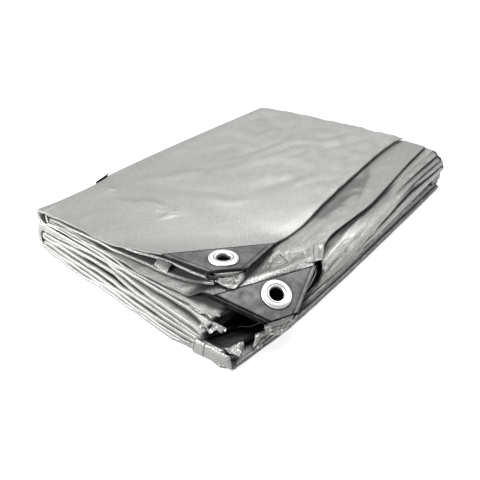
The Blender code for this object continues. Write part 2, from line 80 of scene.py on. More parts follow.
# Height of the layers beside the right folds: columns are y, then layers 4 to 13
ROLL_LAYERS = (4, 5, 6, 7, 8, 9, 10, 11, 12, 13)
ROLL_HEIGHT = (
    (5.0, 33.6, 27.4, 24.0, 22.0, 21.0, 20.0, 16.4, 12.6, 8.8, 4.9),
    (35.0, 36.0, 29.2, 25.2, 22.6, 20.0, 17.6, 14.2, 10.9, 7.6, 4.4),
    (60.0, 36.4, 30.6, 26.6, 23.6, 20.6, 16.9, 13.7, 10.6, 7.2, 4.2),
    (90.0, 36.8, 32.2, 28.6, 25.0, 21.4, 17.3, 14.0, 10.8, 7.4, 4.2),
    (125.0, 38.8, 34.8, 30.7, 26.6, 22.4, 17.8, 14.4, 11.1, 7.8, 4.4),
    (180.0, 41.7, 38.3, 34.2, 29.0, 23.8, 18.6, 14.8, 11.2, 7.8, 4.4),
    (250.0, 44.2, 40.8, 36.6, 30.6, 24.6, 18.6, 14.8, 11.2, 7.8, 4.4),
    (343.0, 46.1, 42.7, 38.4, 31.8, 25.2, 18.6, 14.8, 11.2, 7.8, 4.4),
)

# Front edge of each layer: y at each x, and last the y of its right end
FRONT_COLUMNS = (-5.0, 25.0, 85.0, 107.0, 126.0, 147.0, 183.0, 205.0)
FRONT_EDGE = {
    1: (1.0, 5.6, 7.3, 10.6, 15.9, 20.9, 26.8, 30.5, 30.2),
    2: (3.0, 8.6, 11.5, 15.0, 20.0, 24.0, 28.5, 31.0, 30.0),
    3: (2.4, 6.2, 9.0, 11.0, 12.8, 15.6, 21.6, 26.0, 29.0),
    4: (2.6, 5.6, 6.6, 6.0, 6.0, 6.4, 10.6, 19.0, 36.8),
    5: (2.2, 5.4, 6.6, 5.6, 4.8, 5.4, 7.0, 7.6, 104.0),
    6: (2.0, 5.2, 5.6, 5.0, 4.2, 5.0, 4.6, 3.4, 97.0),
    7: (98.0,) * 9,
    8: (99.0,) * 8 + (96.0,),
    9: (0.6, 3.2, 6.0, 4.0, 1.6, 0.2, -2.0, -1.8, 70.0),
    10: (0.0, 0.6, 3.6, 1.4, -1.0, -2.2, -3.4, -2.6, 24.0),
    11: (-0.6, -0.2, -1.2, -2.4, -3.2, -3.6, -4.2, -4.4, -3.0),
    12: (-1.0, -2.0, -3.4, -4.4, -5.2, -5.6, -6.4, -4.6, -3.0),
    13: (-1.0, -3.6, -4.0, -5.0, -6.0, -6.6, -7.6, -4.8, -2.4),
    14: (-0.8, -4.4, -4.4, -5.2, -5.8, -6.4, -7.2, -4.6, -1.7),
}
FRONT_LEAN = 2.5
FRONT_ROUNDS = 4
TURN_SHARE = 0.97

# Where the lower layers leave their level for the folds on the right: start and width
LOWER_RISE = (150.0, 60.0)

# The same for the upper layers: gap past the fold of layers 2 and 3, most width, and the end
UPPER_GAP = 1.5
UPPER_WIDTH = 32.0
UPPER_END = 214.0

# Back edge of each layer: y at each x
BACK_COLUMNS = (-5.0, 12.0, 40.0, 120.0, 200.0, 245.0)
BACK_EDGE = {
    1: (324.0, 330.0, 336.0, 339.0, 338.0, 336.8),
    2: (322.0, 329.0, 334.0, 336.0, 336.0, 336.0),
    3: (321.0, 328.0, 335.0, 339.5, 339.0, 338.0),
    4: (322.0, 329.0, 336.0, 341.0, 339.8, 339.0),
    5: (324.0, 331.0, 338.0, 342.5, 343.0, 341.0),
    6: (326.0, 332.0, 338.0, 340.5, 341.0, 340.0),
    7: (338.0,) * 5 + (337.0,),
    8: (340.0,) * 5 + (339.0,),
    9: (330.0, 334.0, 339.0, 343.0, 343.5, 341.0),
    10: (331.0, 335.0, 340.0, 341.5, 342.0, 339.5),
    11: (331.0, 336.0, 341.0, 344.5, 344.0, 341.0),
    12: (332.0, 337.0, 342.0, 343.0, 342.5, 340.0),
    13: (333.0, 338.0, 343.0, 345.2, 345.0, 342.0),
    14: (334.0, 339.0, 342.0, 343.5, 344.0, 341.0),
}

# Free right edges of the two top flaps: y, then x
TOP_FLAP_EDGE = (
    (30.2, 199.3), (35.6, 204.5), (43.3, 208.3), (49.3, 208.4), (69.0, 205.2), (94.5, 201.0),
    (104.0, 201.4), (127.0, 204.0), (184.0, 199.6), (224.0, 197.0), (290.0, 192.8), (316.0, 192.6),
    (339.0, 196.0),
)
SECOND_FLAP_EDGE = (
    (36.4, 245.9), (41.9, 249.9), (48.6, 252.3), (56.4, 251.5), (74.7, 246.2), (98.3, 239.4),
    (113.0, 235.2), (135.0, 229.6), (177.0, 231.6), (198.0, 232.6), (239.0, 230.0), (271.0, 226.4),
    (343.0, 221.6),
)

# Folds in the order in which the sheet runs through them. Columns are the side, the layers that
# the fold joins, the number of steps round it, and rows of y, centre x and reach past the centre
FOLDS = (
    ("left", 1, 6, 7, ((0.0, 5.0, 11.0), (66.0, 7.0, 10.0), (92.0, 2.4, 10.0), (200.0, 3.6, 9.0),
                       (343.0, 9.0, 9.0))),
    ("right", 6, 7, 4, ((0.0, 221.0, 2.0), (60.0, 226.0, 2.2), (100.0, 232.6, 2.4),
                        (180.0, 237.0, 3.0), (343.0, 232.6, 3.2))),
    ("left", 7, 8, 4, ((0.0, 200.0, 2.0), (100.0, 206.0, 2.0), (180.0, 202.0, 2.4),
                       (343.0, 200.0, 2.8))),
    ("right", 8, 9, 4, ((0.0, 218.0, 2.4), (60.0, 226.0, 2.6), (100.0, 232.6, 2.6),
                        (180.0, 236.0, 3.2), (343.0, 229.0, 3.0))),
    ("left", 9, 14, 7, ((0.0, 2.4, 12.0), (180.0, 2.0, 10.0), (343.0, 5.0, 11.0))),
    ("right", 14, 13, 4, ((0.0, 237.0, 1.7), (60.0, 243.5, 1.7), (180.0, 244.2, 1.7),
                          (343.0, 242.0, 1.7))),
    ("left", 13, 12, 4, ((0.0, 3.5, 2.2), (343.0, 5.0, 2.2))),
    ("right", 12, 11, 4, ((0.0, 227.0, 1.8), (60.0, 239.5, 1.8), (110.0, 243.0, 1.8),
                          (230.0, 241.4, 1.8), (343.0, 240.2, 1.8))),
    ("left", 11, 10, 4, ((0.0, 2.0, 2.2), (343.0, 3.0, 2.2))),
    ("right", 10, 5, 9, ((0.0, 219.0, 14.0), (60.0, 230.0, 13.0), (100.0, 233.0, 13.6),
                         (180.0, 234.6, 14.0), (343.0, 231.0, 14.0))),
    ("left", 5, 2, 6, ((0.0, 9.0, 7.0), (66.0, 10.0, 6.0), (92.0, 7.4, 7.0), (343.0, 11.0, 6.0))),
    ("right", 2, 3, 4, ((0.0, 188.6, 1.9), (60.0, 190.6, 1.9), (110.0, 171.6, 1.9),
                        (343.0, 164.0, 1.9))),
    ("left", 3, 4, 4, ((0.0, 13.0, 1.7), (343.0, 14.0, 1.7))),
)

# The tables below name a layer by its number and a fold by minus its place in the list above
# The big fold on the right grows pointed towards the back: y and sharpness
BIG_FOLD = (10, 5)
BIG_FOLD_TAG = -10
FOLD_POINT = ((230.0, 1.0), (343.0, 1.9))
BOXY_FOLDS = {(1, 6): 0.6, (9, 14): 0.6}

# Where the points of a layer lie between its two ends; a flap's sleeve begins at its knee
FLAP_KNEE = 0.72
KNEE_MOST = 0.94
TOP_STEPS = (0.0, 0.09, 0.25, 0.4, 0.52, 0.62, FLAP_KNEE, 0.81, 0.9, 1.0)
SECOND_STEPS = (0.0, 0.15, 0.35, 0.5, 0.58, 0.64, 0.68, FLAP_KNEE, 0.81, 0.9, 1.0)
RISING_STEPS = (0.0, 0.1, 0.25, 0.4, 0.56, 0.66, 0.74, 0.8, 0.86, 0.9, 0.94, TURN_SHARE, 0.985, 1.0)
SHORT_STEPS = (0.0, 0.3, 0.55, 0.75, 0.9, 1.0)
INNER_STEPS = (0.0, 0.5, 1.0)
TURNED_STEPS = (0.0, 0.2, 0.4, 0.58, 0.76, 0.88, 0.94, TURN_SHARE, 0.985, 1.0)
PLAIN_STEPS = (0.0, 0.2, 0.4, 0.58, 0.76, 0.88, TURN_SHARE, 1.0)
LAYER_STEPS = {1: TOP_STEPS, 2: SHORT_STEPS, 3: SHORT_STEPS, 4: SECOND_STEPS, 5: RISING_STEPS,
               6: RISING_STEPS, 7: INNER_STEPS, 8: INNER_STEPS, 9: TURNED_STEPS}
STATIONS = (0.0, 0.012, 0.025, 0.04, 0.055, 0.09, 0.13, 0.175, 0.22, 0.27, 0.34, 0.43, 0.54, 0.68,
            0.84, 0.95, 1.0)
PLACE_STATION = 4

# Distance between the fine points of the mesh, along a line and from station to station
FINE_STEP = {1: 2.8, 4: 3.2, 5: 7.0}
PLAIN_STEP = 15.0
FOLD_STEP = 2.3
BIG_FOLD_STEP = 1.4
END_STEP = 2.4
END_SPAN = (200.0, 222.0)
STATION_STEP = 5.3
EDGE_ROUND = ((0.0, 0.60), (0.28, 0.86), (0.9, 1.0), (1.8, 1.0), (2.7, 1.0))
GROOVE_DEPTH = 0.35
GROOVE_LIP = 0.34
GROOVE_BULGE = 0.12
RIM_LINES = 6
LEAST_HEIGHT = 0.02
BEND_LIMIT = 0.7

# Corner sleeves of folded plastic. The corner is where the two closed edges would meet
PATCH_LEG = 66.5
PATCH_CUT = 20.0
PATCH_WALL = 0.8
PATCH_GAP = 0.35
PATCH_HALF = FLAP / 2 + PATCH_GAP + PATCH_WALL
SLEEVE_ROWS = 60
SLEEVE_COLUMNS = 96
SEAM_PLACE = 3.4
SEAM_WIDTH = 0.8
SEAM_DEPTH = 0.3
# Painted shade in the seams' grooves, and on the sleeves' undersides and closed edges
SEAM_PAINTED_SHADE = 0.6
UNDERSIDE_PAINTED_SHADE = 0.9
PATCHES = (
    {"number": 1, "corner": (213.5, 30.0, 48.8), "turn": (-6.0, 0.0, 9.3), "eyelet": (22.2, 21.6),
     "flat": 71.0, "fade": 42.0},
    {"number": 2, "corner": (258.5, 38.9, 15.2), "turn": (19.9, 19.9, 22.9), "eyelet": (20.6, 26.2),
     "flat": 73.0, "fade": 16.0},
)

# Eyelets: a flanged barrel and the washer that it is rolled over
EYELET_BORE = 5.8
EYELET_BARREL = 6.8
EYELET_FLANGE = 12.0
EYELET_HOLE = 7.2
SEAT_GAP = 0.3
FLANGE_RISE = 1.8
WASHER_THICK = 1.0
LIP_THICK = 0.8
LIP_RADIUS = 8.2
TURN_STEPS = 72
HOLE_STEPS = 48
SHARP_ANGLE = 50.0

# Edges of the two other corner sleeves that show at the folds; steps are shares of the way round
CURLS = (
    {"number": 3, "fold": BIG_FOLD, "steps": (1.0 / 7.0, 6.0 / 7.0), "front": 95.0, "back": 116.0,
     "outwards": -2.0},
    {"number": 4, "fold": (1, 6), "steps": (1.0 / 7.0, 3.0 / 7.0), "front": 70.0, "back": 87.0,
     "outwards": 2.1},
)
CURL_WALL = 0.9
CURL_STEPS = 20
# Painted shade that turns the curls' dark plastic black
CURL_PAINTED_SHADE = 0.9

# Band of sleeve 3 round the roll's front edge, its dark plastic painted black as shade: share of the
# way round the fold, and y
BAND_EDGE = ((0.5, 71.0), (0.6, 82.0), (0.7, 92.0), (0.8, 100.2), (0.9, 103.4), (1.0, 104.4))
BAND_WIDTH = 5.6
BAND_TAPER = 0.12
BAND_COLUMNS = 4
BAND_OUTWARDS = 2.0
BAND_WALL = 0.45
# Painted shade that turns the band's dark plastic black
BAND_PAINTED_SHADE = 0.95

# Light line inside the band: shares of the way round the fold, distance in front of it and outwards
LINE_SHARES = (0.6, 0.95, 9)
LINE_FORWARD = 0.8
LINE_OUTWARDS = 0.2
LINE_RADIUS = 0.55

# Creases of the top flap: height, half width, and points as x, y
TOP_CREASES = (
    (0.40, 6.0, ((71, 177), (85, 206), (95, 232), (105, 270))),
    (-0.45, 5.0, ((68, 182), (80, 203), (86, 226), (90, 247))),
    (0.35, 6.0, ((95, 178), (104, 203), (113, 231), (121, 263))),
    (-0.40, 5.0, ((86, 273), (92, 296), (101, 318))),
    (-0.45, 5.0, ((111, 282), (124, 288), (133, 306))),
    (-0.55, 8.0, ((140, 268), (153, 287), (160, 312), (176, 332))),
    (-0.50, 8.0, ((139, 152), (144, 173), (153, 188), (157, 207))),
    (0.40, 7.0, ((156, 172), (161, 191), (171, 220))),
    (0.55, 3.5, ((12, 70), (22, 67), (31, 64))),
    (0.45, 4.0, ((47, 60), (61, 62), (72, 61))),
    (0.70, 3.5, ((70, 74), (79, 75), (93, 69))),
    (0.55, 3.0, ((101, 64), (104, 70), (98, 79))),
    (-0.30, 7.0, ((73, 102), (85, 114), (102, 118), (121, 121))),
    (0.35, 5.0, ((102, 118), (119, 117), (133, 119), (141, 131))),
    (0.35, 8.0, ((25, 90), (46, 112), (63, 137), (81, 156))),
    (-0.30, 6.0, ((50, 143), (69, 158))),
    (0.35, 6.0, ((41, 260), (45, 278), (54, 301))),
    (-0.40, 6.0, ((17, 276), (27, 301), (46, 323))),
    (0.40, 5.0, ((81, 255), (101, 257), (117, 273), (136, 284), (142, 302))),
    (0.35, 5.0, ((44, 17), (50, 29))),
)
DIMPLES = ((118, 80), (129, 95), (154, 94), (152, 77), (135, 84), (122, 92), (143, 88), (160, 83),
           (112, 70), (131, 72), (145, 100), (108, 86))
DIMPLE_RADIUS = 4.0
DIMPLE_RISE = 0.32
TOP_CREASE_SHARE = 2.6
CREASE_END = 0.04
CREASE_FADE = 0.6
SLEEVE_MIDDLE = (233.0, 51.0)

# Height of the fine crumples on each part of the sheet, and the seeds of what is random there
TOP_CRUMPLE = 1.1
SECOND_CRUMPLE = 0.22
BEND_CRUMPLE = 0.75
ROLL_CRUMPLE = 0.42
LOWER_CRUMPLE = 0.25
SEEDS = {"top": 61, "second": 41, "bend": 67, "roll": 43, "lower": 47, "patchy": 53, "spots": 89,
         "streaks": 59}
LATTICE = 64
DETAIL = 2.1
DETAIL_SHIFT = (5.3, 1.7)
DETAIL_SHARE = 0.35

# Small waves of the front edges: reach inwards, height, and shift from layer to layer
WAVE_REACH = 11.0
WAVE_HEIGHT = 0.18
WAVE_SHIFT = 2.1

# Where fine wrinkles catch the light: layer or fold, strength, half width, and points as x, y
SPARKLES = (
    (1, 1.3, 2.6, ((10, 70), (22, 67), (33, 63))),
    (1, 1.3, 2.6, ((45, 60), (61, 62), (74, 61))),
    (1, 1.4, 2.6, ((68, 74), (79, 75), (95, 69))),
    (1, 1.2, 2.6, ((101, 62), (104, 70), (97, 81))),
    (1, 0.6, 9.0, ((112, 74), (128, 84), (146, 90), (162, 86))),
    (1, 0.5, 6.0, ((95, 232), (100, 262), (112, 290))),
    (4, 1.1, 3.0, ((204, 216), (211, 222), (221, 222))),
    (4, 0.9, 8.0, ((196, 88), (208, 100), (219, 116), (224, 136))),
    (4, 0.9, 6.0, ((215, 60), (226, 84), (236, 104))),
    (-10, 0.7, 7.0, ((246, 96), (248, 180), (247, 250))),
)

# Creases of the second flap, like those of the top
SECOND_CREASES = (
    (-1.00, 2.4, ((193, 269), (200, 252), (211, 226), (223, 192))),
    (0.50, 3.0, ((195, 264), (207, 271), (217, 273))),
    (-1.50, 9.0, ((204, 140), (205, 170), (204, 205), (201, 250))),
    (-0.80, 2.6, ((198, 223), (203, 236), (208, 251))),
    (-0.80, 2.6, ((203, 195), (210, 209), (216, 214))),
    (-0.70, 2.6, ((204, 172), (210, 184), (224, 190))),
    (-0.60, 2.6, ((203, 159), (216, 162))),
    (0.60, 2.6, ((218, 108), (220, 123), (221, 138))),
    (0.60, 2.6, ((226, 103), (228, 120), (228, 133))),
    (-0.60, 3.0, ((222, 104), (224, 120), (225, 134))),
    (0.60, 3.0, ((208, 96), (214, 110), (215, 124))),
)

# Long folds of the roll on the right: rise, half width, and points as way round it and y
ROLL_CREASES = (
    (-2.0, 2.8, ((54, 96), (58, 106), (66, 130), (70, 160), (69, 226), (71, 259), (68, 293),
                 (62, 380))),
    (-2.3, 2.4, ((28, 98), (37, 148), (42.5, 170), (48, 232), (48.5, 265), (45.7, 302), (43, 380))),
    (-1.4, 2.0, ((59, 225), (57.5, 285), (56, 322), (54, 380))),
    (-1.2, 1.6, ((52.5, 225), (53, 270), (51.5, 310), (49, 380))),
    (1.0, 2.2, ((58, 112), (62.5, 150), (63, 200), (63, 250), (61, 320), (59, 380))),
    (0.8, 2.4, ((47, 110), (51, 160), (54, 200))),
    (-1.2, 2.0, ((18, 140), (21, 210), (22, 300), (21, 380))),
    (1.3, 2.0, ((60, 150), (56, 157), (50, 160), (44, 158))),
    (1.2, 2.0, ((54, 140), (57, 158), (56, 176))),
    (1.1, 1.9, ((52, 160), (48, 172), (47, 184))),
    (-1.1, 1.9, ((54, 148), (52, 138), (46, 128))),
    (-1.2, 1.9, ((46, 100), (50, 116), (52, 130))),
)

# How much thicker each layer is at its front edge, where it is a bundle of thin folds
EDGE_SWELL = {-1: 2.2, 2: 1.1, 3: 1.15, 4: 1.2, 5: 1.2, 6: 1.6, 9: 1.85, 10: 1.7, 11: 1.75, 12: 1.85,
              13: 1.85, 14: 1.7, -5: 2.2}
LEFT_SWELL = 0.35
SWELL_REACH = 12.0
SWELL_BLUR = 9

# How far to the right the painted shade in the gap over each layer reaches at the front
GAP_REACH = {4: 100.0, 5: 150.0, 6: 180.0, 9: 90.0}
FAR_REACH = 400.0

# Painted shade: the hollow, its ground, below the top flap, the roll's mouth, and beside sleeve 2
# Columns are how much painted shade, the layers and folds, and ramps as direction, start and width
PAINTED_SHADE_PLACES = (
    (1.0, (5, 6, 7, 8, 9, 10, -2, -4, -10), (("x", 209.0, 4.0), ("y", 100.0, -20.0))),
    (0.95, (11, 12, -8), (("x", 201.0, 6.0), ("inwards", 1.0, 3.0), ("y", 100.0, -20.0))),
    (0.35, (3, 4, 5), (("x", 95.0, 25.0), ("y", 32.0, -8.0), ("x", 206.0, -8.0))),
    (0.8, (-10,), (("inwards", 3.0, -0.7), ("z", 20.0, 1.5))),
    (0.8, (4,), (("x", 176.0, 10.0), ("x", 222.0, -16.0), ("y", 66.0, -16.0))),
)
# Layers and folds with painted shade low on the right; the top layer's crinkle; painted shade on the
# roll's front rim, at the layers' ends and at the second flap's bend; painted shadow along the sleeves'
# edges, its width; and painted shadow below the second flap's edge
LOWER_TAGS = (12, 13, 14, -6, -8)
TOP_CRINKLE = 0.12
ROLL_RIM_PAINTED_SHADE = 0.3
ENDS_PAINTED_SHADE = 0.3
BEND_PAINTED_SHADE = 0.5
CONTACT_PAINTED_SHADOW = 0.8
CONTACT_WIDTH = 1.3
BELOW_FLAP_PAINTED_SHADOW = 0.95

# Crumpled cloth at the sleeves' mouths and at the ends of the folds. Corners run round each piece
# Columns are name, height and size of the crumples, seed, how much painted shade lies in their hollows,
# extras and corners; among the extras, least is painted shade all over and lines are pleats with
# painted shade
CRUMPLES = (
    ("mouth_cloth_1", 1.0, 6.5, 3, 0.5, {},
     ((195.2, 28.6, 46.9), (211.0, 47.4, 45.9), (214.0, 37.0, 39.6), (202.0, 24.6, 42.4))),
    ("mouth_cloth_2", 1.3, 6.0, 7, 0.8, {"gloss": 1.0},
     ((241.2, 31.4, 21.4), (253.4, 57.2, 20.8), (253.8, 48.0, 13.5), (246.8, 28.2, 14.5))),
    ("low_cloth_1", 1.8, 6.0, 11, 1.0, {"gloss": 1.0},
     ((238.5, 25.0, 16.0), (245.6, 43.0, 15.6), (244.6, 33.0, 7.4), (241.2, 15.0, 7.4))),
    ("low_hem", 0.25, 9.0, 17, 0.2, {"gloss": 1.0},
     ((240.9, 1.0, 7.6), (245.7, 47.0, 7.8), (245.0, 47.0, 5.4), (239.9, 1.0, 5.4))),
    ("low_cloth_2", 1.2, 4.5, 19, 1.0, {"gloss": 0.5},
     ((229.0, 0.6, 13.8), (235.4, 14.6, 14.4), (241.6, 8.6, 11.4), (239.4, 0.2, 13.4))),
    ("end_cloth_1", 0.6, 5.5, 23, 0.9, {"least": 0.15},
     ((190.0, 9.0, 31.6), (215.6, 12.6, 30.4), (217.0, 8.6, 28.2), (190.0, 5.4, 29.6))),
    ("end_cloth_2", 0.8, 5.0, 79, 1.0, {"least": 0.15},
     ((203.0, 6.0, 27.2), (225.0, 8.6, 25.6), (227.4, 2.4, 21.8), (206.0, 0.4, 22.2))),
    ("left_fold", 0.2, 12.0, 73, 0.2, {"bow": 0.9},
     ((-7.8, 2.6, 28.6), (110.0, 6.4, 25.6), (110.0, 6.4, 24.6), (-8.8, 2.2, 21.6))),
    ("base_wrap", 0.3, 13.0, 37, 0.7, {"bow": 1.6, "lines": (0.02, 0.3), "least": 0.22},
     ((205.5, -5.2, 15.2), (236.6, -1.8, 13.2), (239.2, -1.8, 0.4), (204.0, -6.8, 0.4))),
    ("bend_cloth_1", 0.9, 8.0, 97, 0.5, {"gloss": 1.3, "lines": (0.05, 0.5)},
     ((223.0, 102.5, 38.6), (228.4, 130.6, 39.4), (243.4, 104.2, 39.8), (235.1, 93.2, 39.4))),
    ("bend_cloth_2", 0.55, 6.0, 101, 0.5, {"gloss": 1.1},
     ((207.8, 92.8, 37.1), (221.7, 104.0, 37.9), (234.6, 93.2, 39.4), (222.7, 85.7, 38.8))),
    ("bend_cloth_3", 0.35, 3.4, 103, 0.8, {"gloss": 0.7},
     ((208.0, 78.8, 36.0), (208.1, 92.3, 36.9), (222.5, 85.7, 38.7), (217.0, 70.5, 38.6))),
    ("tip_cloth", 0.8, 4.0, 83, 1.0, {"least": 0.35},
     ((242.6, 322.0, 20.6), (243.6, 341.0, 21.0), (243.4, 341.2, 10.5), (242.6, 322.0, 12.5))),
    ("hem_tab", 0.2, 9.0, 31, 0.0, {},
     ((139.5, 22.6, 41.0), (153.6, 24.0, 40.6), (156.6, 15.4, 37.9), (141.6, 16.0, 39.2))),
)
WHOLE_CLOTHS = ("base_wrap", "hem_tab", "low_hem", "left_fold", "bend_cloth_1", "bend_cloth_2",
                "bend_cloth_3")
END_CLOTHS = ("end_cloth_1", "end_cloth_2")
CRUMPLE_STEP = 0.5
CRUMPLE_WALL = 0.4
CRUMPLE_GLOSS = 0.3
PLEAT_WIDTH = 0.5
PLEAT_DEPTH = 0.4
BOW_EASE = 3.0

# Rolled rims at the first sleeve's mouth, darkened as painted shade of the open mouth: radius, and
# points along each
RIMS = (
    ("sleeve_rim_1", 1.0, ((211.6, 50.0, 48.4), (210.4, 48.6, 48.9), (202.0, 38.0, 50.3),
                           (193.6, 26.6, 51.1), (191.6, 24.4, 49.6), (193.0, 23.4, 47.0),
                           (196.4, 25.6, 45.8), (198.6, 29.0, 46.6))),
    ("sleeve_rim_2", 0.7, ((210.4, 48.8, 48.8), (212.6, 48.0, 47.6), (212.8, 45.6, 46.4),
                           (210.6, 45.4, 46.2))),
)

# Camera: place in metres, turn about Z, tilt down and roll in degrees, and focal length
CAMERA_PLACE = (0.2938, -0.3621, 0.2945)
CAMERA_TURN = 41.03
CAMERA_TILT = 34.66
CAMERA_ROLL = 1.42
CAMERA_LENS = 39.725
CAMERA_SENSOR = 36.0
CAMERA_NEAR = 0.01

# Lights: place, target, width, height and power, in metres and watts
LIGHTS = {
    "key": ((-0.7, -1.2, 0.40), (0.0, 0.0, 0.03), 0.8, 0.4, 42.0),
    "top": ((-0.1, 0.35, 1.3), (0.0, 0.05, 0.03), 0.9, 0.9, 30.0),
    "back": ((-0.7, 1.3, 0.7), (0.0, 0.05, 0.03), 1.2, 0.5, 1.2),
    "right": ((1.0, 0.95, 0.75), (0.1, 0.0, 0.03), 0.3, 0.7, 10.0),
}
WORLD_STRENGTH = 0.04

# Floor: size and place in metres, grey, shine and glow
FLOOR_SIZE = 6.0
FLOOR_HEIGHT = -0.0002
FLOOR_GREY = 0.25
FLOOR_SHINE = 0.1
FLOOR_GLOW = 0.85

# Woven cloth: tape width, and what each pattern from low to high does to the shade and the shine
TAPE = 1.5
TAPE_ROUND = 0.45
TAPE_TONE = (0.0, 1.0, -0.03, 0.03)
CLOUD_TONE = (0.3, 0.7, -0.015, 0.015)
CRINKLE_TONE = (0.1, 1.0, 0.30, 0.38)
CRINKLE_METAL = (0.1, 1.0, 0.38, 0.62)
# Painted shade: how the base colour and the specular fall as it grows
PAINTED_SHADE_TONE = (0.0, 1.0, 1.0, 0.05)
PAINTED_SHADE_SHINE = (0.0, 0.8, 0.5, 0.0)
WOVEN_TINTS = (1.0, 1.0, 0.97)
CLOUD_SCALE = 0.02
SPECK_SCALE = (0.55, 0.8, 1.0)
CRINKLE_SCALE = (0.16, 0.05, 1.0)
WOVEN_BUMPS = (1.6, 1.5, 0.14)

# Plastic and metal: scales of the patterns, and heights of their bumps
DENT_SCALE = (60.0, 60.0, 60.0)
SCUFF_SCALE = (900.0, 260.0, 600.0)
BLOTCH_SCALE = (70.0, 110.0, 70.0)
GRAIN_SCALE = (1500.0, 1500.0, 1500.0)
DENT_BUMP = 2.0
SCUFF_BUMP = 0.05
GRAIN_BUMP = 0.02


def smooth(share):
    """Ease from 0 to 1 while share runs from 0 to 1."""
    share = min(max(share, 0.0), 1.0)
    return share * share * (3.0 - 2.0 * share)


def cubic(u, span, start, end, first, second):
    """Read a smooth span between two points with their slopes, at a share u of its length."""
    rise = end - start
    return (start + u * span * first
            + u * u * (3 * rise - span * (2 * first + second))
            + u * u * u * (span * (first + second) - 2 * rise))


def read_curve(place, knots, values):
    """Read a smooth curve through the knots at a place; it is level past its ends."""
    if place <= knots[0]:
        return values[0]
    if place >= knots[-1]:
        return values[-1]
    last = len(knots) - 1
    step = next(i for i in range(last) if place <= knots[i + 1])
    slopes = []
    for i in (step, step + 1):
        low, high = max(i - 1, 0), min(i + 1, last)
        slopes.append((values[high] - values[low]) / (knots[high] - knots[low]))
    span = knots[step + 1] - knots[step]
    return cubic((place - knots[step]) / span, span, *values[step:step + 2], *slopes)


def read_rows(place, rows, column):
    """Read one column of a table whose first column is the place."""
    return read_curve(place, [row[0] for row in rows], [row[column] for row in rows])


def patch_matrix(patch):
    """Give the rotation of a sleeve as a matrix."""
    return Euler([math.radians(angle) for angle in patch["turn"]], "XYZ").to_matrix()


def patch_height(patch, x, y):
    """Give the height of a sleeve's middle plane at x, y."""
    normal = patch_matrix(patch).col[2]
    corner = Vector(patch["corner"])
    return corner.z - (normal.x * (x - corner.x) + normal.y * (y - corner.y)) / normal.z


def patch_distance(patch, x, y):
    """Give how far x, y lies from the sleeve's corner, added up along the two legs."""
    point = Vector((x, y, patch_height(patch, x, y))) - Vector(patch["corner"])
    local = patch_matrix(patch).transposed() @ point
    return local.y - local.x


def patch_share(patch, x, y):
    """Give how far the cloth at x, y lies in the sleeve's plane: 1 in the sleeve, 0 far off."""
    return 1.0 - smooth((patch_distance(patch, x, y) - patch["flat"]) / patch["fade"])


def knee_of(layer, y):
    """Give the x at which a flap goes over into its sleeve's plane."""
    patch = PATCHES[FLAP_LAYERS.index(layer)]
    start, per_step = patch_distance(patch, 0.0, y), patch_distance(patch, 1.0, y)
    return (start - patch["flat"]) / (start - per_step)


def top_height(x, y):
    """Give the height of the top layer where no corner lifts it."""
    across = [read_rows(y, TOP_HEIGHT, i + 1) for i in range(len(TOP_COLUMNS))]
    return read_curve(x, TOP_COLUMNS, across)


def roll_height(layer, y):
    """Give the height of a layer beside the folds on the right."""
    if layer == BOTTOM_LAYER:
        return REST_HEIGHT
    return read_rows(y, ROLL_HEIGHT, ROLL_LAYERS.index(layer) + 1)


def layer_height(layer, x, y):
    """Give the height of a layer's middle at x, y."""
    if layer in SHORT_LAYERS:
        return roll_height(layer, y)
    top = top_height(x, y)
    height = REST_HEIGHT + (LAYER_HEIGHT[layer] - REST_HEIGHT) * (top - REST_HEIGHT) / (
        LAYER_HEIGHT[TOP_LAYER] - REST_HEIGHT)
    if layer >= SECOND_FLAP:
        start, width = rise_of(layer, y)
        share = smooth((x - start) / width)
        height += share * (roll_height(layer, y) - height)
    for patch, carrier in zip(PATCHES, FLAP_LAYERS):
        if layer == carrier:
            share = patch_share(patch, x, y)
            height += share * (patch_height(patch, x, y) - height)
    return height


def rise_of(layer, y):
    """Give where a layer starts to leave its own level for the folds on the right, and how wide."""
    if layer > LAST_UPPER_LAYER:
        return LOWER_RISE
    start = fold_reach(2, 3, y) + UPPER_GAP
    return start, min(UPPER_WIDTH, UPPER_END - start)


def fold_reach(first, second, y):
    """Give the x of the outermost point of the fold between two layers."""
    for side, a, b, _, rows in FOLDS:
        if {a, b} == {first, second}:
            sign = 1.0 if side == "right" else -1.0
            return read_rows(y, rows, 1) + sign * read_rows(y, rows, 2)
    raise ValueError("no such fold")


def layer_end(layer, side, y):
    """Give the x at which a layer ends on one side, at its fold's centre or its free edge."""
    if side == "right" and layer == TOP_LAYER:
        return read_rows(y, TOP_FLAP_EDGE, 1)
    if side == "right" and layer == SECOND_FLAP:
        return read_rows(y, SECOND_FLAP_EDGE, 1)
    for fold_side, a, b, _, rows in FOLDS:
        if fold_side == side and layer in (a, b):
            return read_rows(y, rows, 1)
    raise ValueError("layer has no end there")


def front_of(layer, share):
    """Give the y of a layer's front edge at a share of the way from its left to its right end."""
    fronts = FRONT_EDGE[layer]
    turn = FLAP_KNEE if layer in FLAP_LAYERS else TURN_SHARE
    y = fronts[-2]
    for _ in range(FRONT_ROUNDS):
        y = read_curve(layer_place(layer, min(share, turn), y), FRONT_COLUMNS, fronts[:-1])
    return y + max(0.0, (share - turn) / (1.0 - turn)) * (fronts[-1] - y)


def back_of(layer, share):
    """Give the y of a layer's back edge at a share of the way from its left to its right end."""
    x = layer_place(layer, share, BACK_EDGE[layer][-1])
    return read_curve(x, BACK_COLUMNS, BACK_EDGE[layer])


